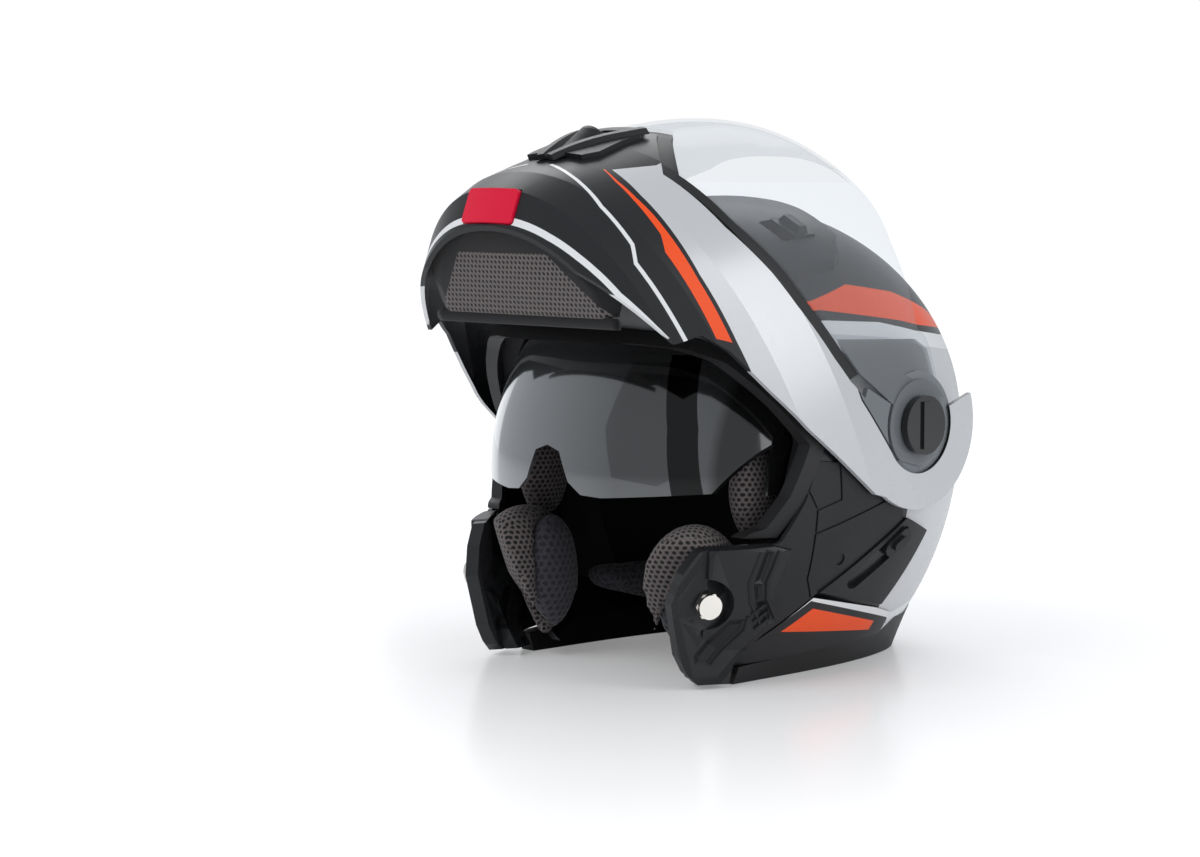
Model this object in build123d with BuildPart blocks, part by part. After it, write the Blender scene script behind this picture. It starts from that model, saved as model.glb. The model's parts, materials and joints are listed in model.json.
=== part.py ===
from build123d import *
from math import cos, radians, sin, sqrt
import os

os.makedirs("parts", exist_ok=True)

# Flip-up road helmet, millimetres. The wearer looks along -Y and the wearer's left is +X.
# The chin bar and the clear visor are drawn closed, then swung up together to the stored pose.

# Shell: an egg of four quarter ellipsoids that meet at its widest level and widest section
shell_half_width = 130.0
shell_front = 150.0
shell_rear = 141.0
shell_rise = 124.0
shell_drop = 168.0
shell_centre_y = -7.0
shell_widest_z = 131.0
shell_wall = 3.2

# Clearances: a seat, a loose fit, a turning fit, and how far a cutter runs past its work
seat_gap = 0.3
part_gap = 0.8
turn_gap = 0.05
cut_overrun = 40.0

# Skirt: the squarer surface that the lower side covers share, outside the egg
skirt_step = 1.2
skirt_top = 150.0
panel_wall = 2.4
groove_width = 1.2
groove_depth = 0.9
screw_radius = 3.2

# Inner layers
liner_gap = 0.5
liner_thickness = 32.0
pad_gap = 0.4
crown_pad_thickness = 9.0

# Trim round the eyeport
trim_proud = 2.4
trim_width = 8.0
trim_lap = 2.0

# Rim under the shell
base_half_width = 82.0
base_front = 96.0
base_rear = 104.0
base_wall = 10.0
base_flare = 20.0

# Chin bar, drawn closed
pivot_y = 5.0
pivot_z = 137.0
lift_angle = 66.0
chin_half_width = 134.5
chin_reach = 190.0
chin_height = 118.0
chin_power = 2.2
chin_wall = 3.0
ear_length = 56.0
ear_radius = 46.0
ear_recess_radius = 26.5
ear_clearance = 0.6
ear_plate_radius = 29.0
ear_plate_thickness = 1.6
chin_liner_thickness = 18.0
chin_liner_half_width = 62.0
curtain_width = 46.0
curtain_thickness = 7.0
curtain_crown = 4.0
curtain_level = 12.0
curtain_end_y = -104.0
curtain_room_share = 0.46
band_width = 8.0
vent_proud = 3.0
vent_slat_height = 3.0
vent_slat_half_width = 14.0
vent_slider_width = 12.0
vent_slider_length = 9.0
vent_slider_rise = 2.0
vent_slider_travel = 8.0
button_half_width = 19.0
button_length = 19.0
button_proud = 2.2
button_depth = 6.0
button_gap = 0.6
button_travel = 3.0

# Clear visor, drawn closed
visor_wall = 2.0
visor_gap = 8.0
visor_ear_radius = 24.5
gasket_inset = 1.0
gasket_gap = 0.5

# Pivots
hub_radius = 9.0
hub_flange_radius = 14.0
hub_flange_gap = 0.2
knob_radius = 16.0
knob_thickness = 4.4
knob_pin_radius = 4.0
knob_pin_length = 3.5
knob_ridge_width = 7.0
knob_ridge_rise = 1.4

# Sun visor: a barrel round its own hinge line
sun_y = -20.0
sun_z = 108.0
sun_offset = 27.0
sun_bulge = 98.5
sun_half_axis = 106.0
sun_half_width = 100.0
sun_wall = 2.0
sun_gap = 1.5
sun_low_angle = -12.0
sun_top_angle = 46.0
sun_spare_angle = 3.0
sun_travel = 40.0
sun_boss_radius = 9.0
sun_pin_radius = 3.0
sun_ear_thickness = 2.0
sun_ear_radius = 9.0
sun_ear_low = -6.0
sun_ear_high = 30.0

# Lock covers: flat mouldings on the front lower corners, leaning out to the top
cover_x = 87.0
cover_y = -113.3
cover_z = 46.7
cover_turn = 20.0
cover_lean = 6.9
cover_thickness = 8.0
cover_proud = 1.5
cover_size = 45.0
cover_recess_radius = 14.0
stud_neck_radius = 4.0
stud_neck_length = 3.0
stud_hex_radius = 7.4
stud_hex_height = 2.4
stud_head_radius = 6.6
stud_head_height = 2.6

# Latches that hook the studs when the chin bar is shut
latch_gap = 0.7
latch_thickness = 2.0
latch_wall = 3.8
latch_pin_radius = 3.0
latch_pin_u = -13.0
latch_pin_v = -9.8
latch_mouth = 15.0

# Soft pads
cheek_semi_x = 22.0
cheek_semi_y = 36.0
cheek_semi_z = 42.0
cheek_x = 66.0
cheek_y = -100.0
cheek_z = 43.5
lining_semi_x = 12.0
lining_semi_y = 19.0
lining_semi_z = 34.0
lining_x = 52.0
lining_y = -92.0
lining_z = 49.0
temple_semi_x = 11.0
temple_semi_y = 19.0
temple_semi_z = 27.0
temple_x = 86.0
temple_y = -60.0
temple_z = 104.0
roll_radius = 12.0
roll_half_width = 59.0
roll_reach = 83.0
roll_z = 21.5

# Crown panel and its vent sliders
crown_rise = 4.2
crown_floor = 0.7
crown_vent_x = 65.0
crown_vent_y = -25.0
crown_slot_radius = 2.0
top_slider_width = 20.0
top_slider_length = 16.0
top_slider_rise = 4.5
top_slider_travel = 8.0

# Sun visor slider on the left lower side
plate_proud = 1.2
slot_y = -12.5
slot_z = 65.0
slot_angle = 35.0
slot_depth = 2.0
slot_width = 11.0
slot_length = 50.0
slider_travel = 24.0
slider_length = 20.0
slider_rise = 3.5


def at_side(y_share, z_share):
    """A point of the side view, from shares of the shell's front length and of its full height."""
    return (shell_centre_y + y_share * shell_front, z_share * (shell_widest_z + shell_rise))


def at_chin(y_share, z_share):
    """A side-view point of the closed chin bar, from shares of its reach and height."""
    return (pivot_y + y_share * chin_reach, z_share * chin_height)


def side_points(shares, place=at_side):
    """Side-view points from a table of shares."""
    return [place(y_share, z_share) for y_share, z_share in shares]


def side_prism(points, radii=None, near=0.0, far=None):
    """A block whose side view is the outline; it crosses the whole helmet unless given a span."""
    half = shell_half_width + cut_overrun
    with BuildPart() as prism:
        with BuildSketch(Plane.YZ.offset(near)):
            with BuildLine():
                if radii:
                    FilletPolyline(*points, radius=radii, close=True)
                else:
                    Polyline(*points, close=True)
            make_face()
        if far is None:
            extrude(amount=half, both=True)
        else:
            extrude(amount=far - near)
    return prism.part


def front_prism(points, radii=None):
    """A block whose front view is the outline, through the front half of the helmet."""
    with BuildPart() as prism:
        with BuildSketch(Plane.XZ):
            with BuildLine():
                if radii:
                    FilletPolyline(*points, radius=radii, close=True)
                else:
                    Polyline(*points, close=True)
            make_face()
        extrude(amount=chin_reach + cut_overrun)
    return prism.part


def quarter(half_width, depth, height, rear, upper):
    """A quarter ellipsoid: front or rear, upper or lower."""
    with BuildPart() as piece:
        Sphere(1, arc_size1=0, arc_size2=90, arc_size3=180, align=None)
        scale(by=(half_width, depth, height))
    shape = piece.part
    if not rear:
        shape = shape.mirror(Plane.XZ)
    if not upper:
        shape = shape.mirror(Plane.XY)
    return Pos(0, shell_centre_y, shell_widest_z) * shape


def egg(grow):
    """The shell's solid egg, larger by grow all round."""
    with BuildPart() as solid:
        for rear, depth in ((True, shell_rear), (False, shell_front)):
            for upper, height in ((True, shell_rise), (False, shell_drop)):
                add(quarter(shell_half_width + grow, depth + grow, height + grow, rear, upper))
    return solid.part


def egg_share(level):
    """Size of the egg's level section as a share of its widest section."""
    drop = shell_drop if level < shell_widest_z else shell_rise
    return sqrt(1 - ((level - shell_widest_z) / drop) ** 2)


def bow_points(half_width, reach, centre_y, power, steps=14):
    """A super-ellipse round the front, from the left side to the right side."""
    points = []
    for step in range(steps + 1):
        angle = radians(180 * step / steps)
        x_share = abs(cos(angle)) ** (2 / power) * (1 if step * 2 < steps else -1)
        y_share = abs(sin(angle)) ** (2 / power)
        points.append((half_width * x_share, centre_y - reach * y_share))
    return points


def bow_face(level, half_width, reach, centre_y, power, tail, round_tail):
    """A level face: a super-ellipse in front and straight or round sides behind its centre."""
    with BuildSketch(Plane.XY.offset(level)) as face:
        with BuildLine():
            Spline(bow_points(half_width, reach, centre_y, power), tangents=((0, -1), (0, 1)))
            if round_tail:
                EllipticalCenterArc((0, centre_y), half_width, tail, start_angle=0, arc_size=180)
            else:
                Polyline(
                    (-half_width, centre_y),
                    (-half_width, centre_y + tail),
                    (half_width, centre_y + tail),
                    (half_width, centre_y),
                )
        make_face()
    return face.sketch


def skirt(grow):
    """The squarer solid that the lower side covers are cut from."""
    section_shares = (
        (-0.06, 0.89, 3.0),
        (0.16, 0.89, 3.0),
        (0.40, 0.895, 2.8),
        (0.61, 0.925, 2.4),
        (0.79, 0.973, 2.1),
        (1.0, 0.985, 2.0),
    )
    with BuildPart() as solid:
        for level_share, reach_share, power in section_shares:
            level = level_share * skirt_top
            half_width = shell_half_width * egg_share(level) + skirt_step + grow
            tail = shell_rear * egg_share(level) + skirt_step + grow
            reach = reach_share * shell_front + grow
            add(bow_face(level, half_width, reach, shell_centre_y, power, tail, True))
        loft()
    return solid.part


def chin_form(inset):
    """The closed chin bar's outer form, or a smaller one inside it; creased at its levels."""
    section_shares = (
        (-0.12, 0.750, 0.86),
        (0.0, 0.776, 0.915),
        (0.155, 0.813, 1.012),
        (0.32, 0.888, 1.016),
        (0.51, 0.955, 1.0),
        (0.76, 0.993, 0.98),
        (1.0, 1.0, 0.953),
        (1.65, 1.0, 0.84),
    )
    with BuildPart() as solid:
        for level_share, width_share, reach_share in section_shares:
            half_width = chin_half_width * width_share - inset
            reach = chin_reach * reach_share - inset
            tail = ear_length + inset
            add(bow_face(level_share * chin_height, half_width, reach, pivot_y, chin_power, tail, False))
        loft(ruled=True)
    return solid.part


def visor_form(inset):
    """The closed visor's outer form, or a smaller one inside it; smooth from level to level."""
    section_shares = (
        (0.60, 0.985, 0.99, 2.2),
        (0.76, 0.993, 0.985, 2.2),
        (1.0, 1.0, 0.958, 2.2),
        (1.27, 0.985, 0.912, 2.25),
        (1.52, 0.925, 0.85, 2.3),
        (1.70, 0.80, 0.75, 2.45),
        (1.85, 0.68, 0.65, 2.7),
    )
    with BuildPart() as solid:
        for level_share, width_share, reach_share, power in section_shares:
            half_width = chin_half_width * width_share - inset
            reach = chin_reach * reach_share - inset
            tail = ear_length + inset
            add(bow_face(level_share * chin_height, half_width, reach, pivot_y, power, tail, False))
        loft()
    return solid.part


def pivot_disc(radius, near, far):
    """A disc or pin on the left end of the chin bar's hinge line."""
    with BuildPart() as disc:
        with BuildSketch(Plane.YZ.offset(near)):
            with Locations((pivot_y, pivot_z)):
                Circle(radius)
        extrude(amount=far - near)
    return disc.part


def swing(part):
    """Swing a closed chin bar piece up to the stored pose."""
    hinge = Axis((0, pivot_y, pivot_z), (1, 0, 0))
    return part.rotate(hinge, -lift_angle)


pieces = {}


def keep(name, part):
    """Label a finished piece and remember it for the export."""
    part.label = name
    pieces[name] = part


def keep_pair(name, left_part):
    """Remember a left piece and its mirror image."""
    keep(name + "_left", left_part)
    keep(name + "_right", left_part.mirror(Plane.YZ))


def ear_sector(low, high, radius):
    """A block round the chin bar's hinge line between two angles above straight ahead, closed."""
    points = [(pivot_y, pivot_z)]
    for step in range(5):
        angle = radians(low + (high - low) * step / 4)
        points.append((pivot_y - radius * cos(angle), pivot_z + radius * sin(angle)))
    return side_prism(points)


def ear_round(radius):
    """A round block along the chin bar's hinge line, through both sides."""
    with BuildPart() as block:
        with BuildSketch(Plane.YZ):
            with Locations((pivot_y, pivot_z)):
                Circle(radius)
        extrude(amount=chin_half_width + cut_overrun, both=True)
    return block.part


def both_sides(part):
    """A left piece with its mirror image, as one shape."""
    with BuildPart() as pair:
        add(part)
        add(part.mirror(Plane.YZ))
    return pair.part


# Outlines in the side view, as shares of the shell's front length and full height
eyeport_shares = (
    (-1.60, 0.749),
    (-0.83, 0.749),
    (-0.71, 0.737),
    (-0.61, 0.706),
    (-0.47, 0.608),
    (-0.35, 0.514),
    (-0.42, 0.392),
    (-0.50, 0.310),
    (-0.555, 0.300),
    (-0.555, -0.20),
    (-1.60, -0.20),
)
eyeport_radius_shares = (0.0, 0.0, 0.05, 0.10, 0.15, 0.05, 0.18, 0.03, 0.006, 0.0, 0.0)
hem_shares = ((-1.6, -0.3), (-1.6, 0.037), (-0.55, 0.037), (0.19, 0.067), (0.27, 0.098), (1.6, 0.098), (1.6, -0.3))
panel_shares = (
    (-0.44, 0.478),
    (-0.16, 0.462),
    (0.0, 0.410),
    (0.060, 0.337),
    (-0.32, 0.187),
    (-0.555, 0.075),
    (-0.57, 0.200),
    (-0.52, 0.330),
    (-0.45, 0.400),
)
lower_shares = (
    (-0.60, 0.039),
    (-0.60, 0.053),
    (-0.552, 0.070),
    (-0.317, 0.182),
    (0.06, 0.137),
    (0.185, 0.117),
    (0.185, 0.0675),
)
plate_shares = ((0.076, 0.337), (0.238, 0.300), (0.072, 0.144), (-0.305, 0.193))
seam_shares = (
    ((-0.445, 0.450), (-0.373, 0.373), (-0.275, 0.392), (-0.290, 0.480)),
    ((-0.373, 0.373), (-0.373, 0.323), (-0.04, 0.383)),
    ((-0.373, 0.323), (-0.373, 0.225), (-0.335, 0.185)),
)
screw_shares = (-0.24, 0.262)

whole_egg = egg(0)
inner_egg = egg(-shell_wall)
skirt_solid = skirt(0)
eyeport_radii = [share * shell_front for share in eyeport_radius_shares]
eyeport = side_prism(side_points(eyeport_shares), eyeport_radii)
under_hem = side_prism(side_points(hem_shares))

# The lock cover's plane leans out towards its top and is turned to the front
cover_plane = Plane(
    origin=(cover_x, cover_y, cover_z),
    x_dir=(sin(radians(cover_turn)), cos(radians(cover_turn)), 0),
    z_dir=(
        cos(radians(cover_turn)) * cos(radians(cover_lean)),
        -sin(radians(cover_turn)) * cos(radians(cover_lean)),
        -sin(radians(cover_lean)),
    ),
)
cover_shares = (
    (0.02, 0.65),
    (0.75, 0.71),
    (0.98, 0.65),
    (0.79, 0.17),
    (0.88, -0.28),
    (0.62, -0.57),
    (0.43, -0.77),
    (0.39, -1.00),
    (-0.02, -0.99),
    (-0.17, -0.85),
    (-0.29, -0.64),
    (-0.43, 0.0),
    (-0.30, 0.36),
    (-0.10, 0.62),
)


def cover_prism(grow, near, far, start_share=-1.0):
    """The lock cover's outline as a block along its own normal, cut off ahead of a share."""
    points = [(u * cover_size, v * cover_size) for u, v in cover_shares]
    with BuildPart() as prism:
        with BuildSketch(cover_plane.offset(near)):
            Polygon(*points, align=None)
            if grow:
                offset(amount=grow, kind=Kind.INTERSECTION)
            if start_share > -1.0:
                with Locations(((start_share - 1) * cover_size, 0)):
                    Rectangle(2 * cover_size, 4 * cover_size, mode=Mode.SUBTRACT)
        extrude(amount=far - near)
    return prism.part


cover_room = cover_prism(seat_gap, -2 * cover_size, cover_size)

# Outer shell, open at the eyeport and the neck
with BuildPart() as outer_shell:
    add(whole_egg)
    add(inner_egg, mode=Mode.SUBTRACT)
    add(eyeport, mode=Mode.SUBTRACT)
    add(under_hem, mode=Mode.SUBTRACT)
keep("outer_shell", outer_shell.part)

# Eyeport trim: a lip along the shell's cut edge, down to the lock covers
with BuildPart() as port_core:
    with BuildSketch(Plane.YZ):
        with BuildLine():
            FilletPolyline(*side_points(eyeport_shares), radius=eyeport_radii, close=True)
        make_face()
        offset(amount=-trim_width, kind=Kind.INTERSECTION)
    extrude(amount=shell_half_width + cut_overrun, both=True)
with BuildPart() as eyeport_trim:
    add(egg(trim_proud))
    add(egg(-shell_wall - trim_lap), mode=Mode.SUBTRACT)
    add(eyeport, mode=Mode.INTERSECT)
    add(port_core.part, mode=Mode.SUBTRACT)
    with BuildSketch(cover_plane.offset(-2 * cover_size)):
        with Locations((0, -1.3 * cover_size)):
            Rectangle(8 * cover_size, 4 * cover_size)
    extrude(amount=4 * cover_size, mode=Mode.SUBTRACT)
    with BuildSketch(Plane.XY.offset(cover_z + 0.76 * cover_size)):
        Rectangle(4 * shell_front, 4 * shell_front)
    extrude(amount=-2 * shell_drop, mode=Mode.SUBTRACT)
keep("eyeport_trim", eyeport_trim.part)

# Side panels: thin mouldings over the lower sides, with their shut lines as grooves
thin_skirt = skirt_solid - skirt(-panel_wall) - whole_egg
with BuildPart() as seam_grooves:
    for seam in seam_shares:
        with BuildSketch(Plane.YZ):
            with BuildLine():
                Polyline(*side_points(seam))
            trace(line_width=groove_width)
    extrude(amount=2 * shell_half_width)
    add(skirt(-groove_depth), mode=Mode.SUBTRACT)
with BuildPart() as side_panel:
    add(thin_skirt)
    add(side_prism(side_points(panel_shares), near=0, far=2 * shell_half_width), mode=Mode.INTERSECT)
    add(cover_room, mode=Mode.SUBTRACT)
    add(eyeport, mode=Mode.SUBTRACT)
    add(seam_grooves.part, mode=Mode.SUBTRACT)
    with BuildSketch(Plane.YZ):
        with Locations(at_side(*screw_shares)):
            Circle(screw_radius + turn_gap)
    extrude(amount=2 * shell_half_width, mode=Mode.SUBTRACT)
keep_pair("side_panel", side_panel.part)

# Panel screws, sunk a little below the panel's face
with BuildPart() as panel_screw:
    with BuildSketch(Plane.YZ):
        with Locations(at_side(*screw_shares)):
            Circle(screw_radius)
    extrude(amount=2 * shell_half_width)
    add(skirt(-groove_depth), mode=Mode.INTERSECT)
    add(whole_egg, mode=Mode.SUBTRACT)
keep_pair("panel_screw", panel_screw.part)

with BuildPart() as lower_panel:
    add(thin_skirt)
    add(side_prism(side_points(lower_shares), near=0, far=2 * shell_half_width), mode=Mode.INTERSECT)
    add(cover_room, mode=Mode.SUBTRACT)
keep_pair("lower_panel", lower_panel.part)

# Lock cover, bent back along the skirt behind the stud, and its stud
with BuildPart() as cover_bend:
    add(skirt(cover_proud))
    add(skirt(cover_proud - cover_thickness), mode=Mode.SUBTRACT)
    add(cover_prism(0, -cover_size, cover_size, 0.0), mode=Mode.INTERSECT)
with BuildPart() as lock_cover:
    add(cover_prism(0, -cover_thickness, 0))
    add(cover_bend.part)
    add(whole_egg, mode=Mode.SUBTRACT)
    with BuildSketch(cover_plane):
        Circle(cover_recess_radius)
    extrude(amount=cover_size, mode=Mode.SUBTRACT)
keep_pair("lock_cover", lock_cover.part)
with BuildPart() as lock_stud:
    with BuildSketch(cover_plane):
        Circle(stud_neck_radius)
    extrude(amount=stud_neck_length)
    with BuildSketch(cover_plane.offset(stud_neck_length)):
        RegularPolygon(stud_hex_radius, 6)
    extrude(amount=stud_hex_height)
    with BuildSketch(cover_plane.offset(stud_neck_length + stud_hex_height)):
        Circle(stud_head_radius)
    extrude(amount=stud_head_height)
keep_pair("lock_stud", lock_stud.part)

# Rim under the shell: it flares from a narrower foot up to the shell's hem
rim_shares = (
    (1.01, -0.98),
    (1.0, -0.38),
    (0.975, -0.02),
    (0.87, 0.42),
    (0.71, 0.71),
    (0.41, 0.93),
)
hem_top_share = 0.098
hem_top = hem_top_share * (shell_widest_z + shell_rise)


def rim_face(level, grow, widen):
    """A level face of the rim's outline, open to the front."""
    half = []
    for x_share, y_share in rim_shares:
        reach = base_rear if y_share > 0 else base_front
        half.append((x_share * base_half_width + grow + widen * (1 - abs(y_share) / 2), y_share * reach))
    line = half + [(0, base_rear + grow)] + [(-x, y) for x, y in reversed(half)]
    with BuildSketch(Plane.XY.offset(level)) as face:
        with BuildLine():
            Spline(*line)
            Line(line[-1], line[0])
        make_face()
    return face.sketch


with BuildPart() as rim_inner:
    add(rim_face(0, -base_wall, 0))
    add(rim_face(hem_top, -seat_gap - base_wall, base_flare))
    loft()
with BuildPart() as base_trim:
    add(rim_face(0, 0, 0))
    add(rim_face(hem_top, -seat_gap, base_flare))
    loft()
    add(rim_inner.part, mode=Mode.SUBTRACT)
    add(under_hem, mode=Mode.INTERSECT)
    with BuildSketch(Plane.XY):
        with Locations((0, -base_front - base_half_width)):
            Rectangle(4 * base_half_width, 2 * base_half_width + 2 * base_wall)
    extrude(amount=2 * hem_top, mode=Mode.SUBTRACT)
    add(both_sides(cover_room), mode=Mode.SUBTRACT)
keep("base_trim", base_trim.part)


def skirt_width(level):
    """Half width of the skirt at a level."""
    return shell_half_width * egg_share(level) + skirt_step


# Slider plate on the left, with a blank twin on the right, and the sun visor's slider
slot_slope = (skirt_width(slot_z + slot_width) - skirt_width(slot_z - slot_width)) / (2 * slot_width)
slot_plane = Plane(
    origin=(skirt_width(slot_z) + plate_proud, slot_y, slot_z),
    x_dir=(slot_slope * sin(radians(slot_angle)), cos(radians(slot_angle)), sin(radians(slot_angle))),
    z_dir=(1, 0, -slot_slope),
)
with BuildPart() as plain_plate:
    add(skirt(plate_proud))
    add(whole_egg, mode=Mode.SUBTRACT)
    add(side_prism(side_points(plate_shares), near=0, far=2 * shell_half_width), mode=Mode.INTERSECT)
keep("slider_plate_right", plain_plate.part.mirror(Plane.YZ))
with BuildPart() as slider_plate:
    add(plain_plate.part)
    with BuildSketch(slot_plane.offset(-slot_width)):
        SlotOverall(slot_length, slot_width)
    extrude(amount=2 * slot_width, mode=Mode.SUBTRACT)
keep("slider_plate_left", slider_plate.part)
slider_rest = (slot_length - slider_length) / 2 - part_gap
with BuildPart() as sun_slider:
    with BuildSketch(slot_plane.offset(-slot_depth)):
        with Locations((slider_rest, 0)):
            SlotOverall(slider_length, slot_width - 2 * part_gap)
    extrude(amount=slot_depth + plate_proud)
    with BuildSketch(slot_plane.offset(plate_proud)):
        with Locations((slider_rest, 0)):
            SlotOverall(slider_length / 2, slot_width / 2)
    extrude(amount=slider_rise - plate_proud)
keep("sun_visor_slider", sun_slider.part)

# Crown panel with a vent slider on each side
crown_shares = (
    (0.0, -0.60),
    (0.40, -0.50),
    (0.62, -0.38),
    (0.70, -0.27),
    (0.70, -0.06),
    (0.655, 0.005),
    (0.605, 0.025),
    (0.57, 0.08),
    (0.30, 0.13),
    (0.0, 0.15),
)
crown_points = [(x * shell_half_width, shell_centre_y + y * shell_front) for x, y in crown_shares]
crown_points = crown_points + [(-x, y) for x, y in reversed(crown_points[1:-1])]
crown_vent_z = shell_widest_z + (shell_rise + crown_rise) * sqrt(
    1
    - (crown_vent_x / (shell_half_width + crown_rise)) ** 2
    - ((crown_vent_y - shell_centre_y) / (shell_front + crown_rise)) ** 2
)
crown_plane = Plane(
    origin=(crown_vent_x, crown_vent_y, crown_vent_z),
    x_dir=(0, 1, 0),
    z_dir=(
        crown_vent_x / shell_half_width**2,
        (crown_vent_y - shell_centre_y) / shell_front**2,
        (crown_vent_z - shell_widest_z) / shell_rise**2,
    ),
)
with BuildPart() as crown_slot:
    with BuildSketch(crown_plane.offset(-top_slider_width)):
        RectangleRounded(
            top_slider_length + top_slider_travel + 2 * part_gap,
            top_slider_width + 2 * part_gap,
            crown_slot_radius,
        )
    extrude(amount=2 * top_slider_width)
with BuildPart() as crown_cover:
    with BuildSketch(Plane.XY.offset(shell_widest_z)):
        Polygon(*crown_points, align=None)
    extrude(amount=2 * shell_rise)
    add(egg(crown_rise), mode=Mode.INTERSECT)
    add(whole_egg, mode=Mode.SUBTRACT)
    add(both_sides(crown_slot.part), mode=Mode.SUBTRACT)
keep("crown_cover", crown_cover.part)
with BuildPart() as top_slider:
    with BuildSketch(crown_plane.offset(crown_floor - crown_rise)):
        with Locations((top_slider_travel / 2, 0)):
            Rectangle(top_slider_length, top_slider_width)
    extrude(amount=crown_rise)
    with BuildSketch(crown_plane.offset(crown_floor)):
        with Locations((top_slider_travel / 2, 0)):
            Rectangle(top_slider_length / 2, 0.8 * top_slider_width)
    extrude(amount=top_slider_rise - crown_floor, taper=20)
keep_pair("top_vent_slider", top_slider.part)

# Sun visor: its face outline in the front view, as shares of its half width
sun_face_shares = (
    (0.0, 0.19),
    (0.09, 0.16),
    (0.16, 0.0),
    (0.24, -0.065),
    (0.36, -0.075),
    (0.85, -0.04),
    (0.98, 0.18),
    (1.06, 0.30),
    (1.06, 1.10),
)


def barrel(inner, outer, low, high, half_width):
    """The barrel's wall between two growths and two angles, cut to a width."""
    plane = Plane(
        origin=(0, sun_y, sun_z),
        x_dir=(1, 0, 0),
        z_dir=(0, -sin(radians(low)), -cos(radians(low))),
    )
    with BuildPart() as wall:
        with BuildSketch(plane):
            with Locations((0, sun_offset)):
                Ellipse(sun_half_axis + outer, sun_bulge + outer)
                Ellipse(sun_half_axis + inner, sun_bulge + inner, mode=Mode.SUBTRACT)
            with Locations((0, sun_offset - shell_front)):
                Rectangle(4 * shell_front, 2 * shell_front, mode=Mode.SUBTRACT)
            with Locations((half_width + shell_front, 0), (-half_width - shell_front, 0)):
                Rectangle(2 * shell_front, 4 * shell_front, mode=Mode.SUBTRACT)
        revolve(axis=Axis((0, sun_y, sun_z), (-1, 0, 0)), revolution_arc=high - low)
    return wall.part


def sun_point(angle, radius):
    """A side-view point at an angle and distance from the sun visor's hinge line."""
    return (sun_y - radius * cos(radians(angle)), sun_z + radius * sin(radians(angle)))


sun_edge_radius = sun_offset + sun_bulge * sqrt(1 - (sun_half_width / sun_half_axis) ** 2)


def sun_ear(grow, low, high):
    """The left arm from the barrel's edge to the hinge pin, swept between two angles."""
    with BuildPart() as arm:
        with BuildSketch(Plane.YZ.offset(sun_half_width - sun_ear_thickness - grow)):
            with BuildLine():
                Polyline(
                    (sun_y, sun_z),
                    sun_point(low, sun_edge_radius - sun_wall / 2 + grow),
                    sun_point((low + high) / 2, sun_edge_radius - sun_wall / 2 + grow),
                    sun_point(high, sun_edge_radius - sun_wall / 2 + grow),
                    close=True,
                )
            make_face()
            with Locations((sun_y, sun_z)):
                Circle(sun_ear_radius + grow)
        extrude(amount=sun_ear_thickness + 2 * grow)
    return arm.part


sun_face = [(x * sun_half_width, sun_z + z * sun_half_width) for x, z in sun_face_shares]
sun_face = sun_face + [(-x, z) for x, z in reversed(sun_face[1:])]
with BuildPart() as sun_visor:
    add(barrel(-sun_wall, 0, sun_low_angle, sun_top_angle, sun_half_width))
    add(front_prism(sun_face), mode=Mode.INTERSECT)
    add(both_sides(sun_ear(0, sun_ear_low, sun_ear_high)))
    with BuildSketch(Plane.YZ):
        with Locations((sun_y, sun_z)):
            Circle(sun_pin_radius + turn_gap)
    extrude(amount=shell_half_width, both=True, mode=Mode.SUBTRACT)
keep("sun_visor", sun_visor.part)

# Bosses that carry the sun visor: fixed inside the shell, with a pin through each arm
with BuildPart() as sun_boss:
    with BuildSketch(Plane.YZ.offset(sun_half_width + seat_gap)):
        with Locations((sun_y, sun_z)):
            Circle(sun_boss_radius)
    extrude(amount=shell_half_width - sun_half_width)
    with BuildSketch(Plane.YZ.offset(sun_half_width - sun_ear_thickness - seat_gap)):
        with Locations((sun_y, sun_z)):
            Circle(sun_pin_radius)
    extrude(amount=sun_ear_thickness + 2 * seat_gap)
    add(inner_egg, mode=Mode.INTERSECT)
keep_pair("sun_visor_boss", sun_boss.part)


def cushion(x, y, z, semi_x, semi_y, semi_z, grow=0.0):
    """A cushion's crowned form, larger by grow all round."""
    with BuildPart() as form:
        Sphere(1)
        scale(by=(semi_x + grow, semi_y + grow, semi_z + grow))
    return Pos(x, y, z) * form.part


# Cheek pads behind the lock covers, each with a raised lining on its inner face
lining_form = (lining_x, lining_y, lining_z, lining_semi_x, lining_semi_y, lining_semi_z)
pad_egg = egg(-shell_wall - pad_gap)
cover_back = cover_prism(2 * cover_size, -cover_thickness - pad_gap, cover_size)
with BuildPart() as cheek_pad:
    add(cushion(cheek_x, cheek_y, cheek_z, cheek_semi_x, cheek_semi_y, cheek_semi_z))
    add(pad_egg, mode=Mode.INTERSECT)
    add(cover_back, mode=Mode.SUBTRACT)
    add(cushion(*lining_form, grow=pad_gap), mode=Mode.SUBTRACT)
keep_pair("cheek_pad", cheek_pad.part)
with BuildPart() as cheek_lining:
    add(cushion(*lining_form))
    add(pad_egg, mode=Mode.INTERSECT)
keep_pair("cheek_lining", cheek_lining.part)
temple_form = (temple_x, temple_y, temple_z, temple_semi_x, temple_semi_y, temple_semi_z)
temple_room = both_sides(cushion(*temple_form, grow=pad_gap))
keep_pair("temple_pad", cushion(*temple_form))

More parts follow.
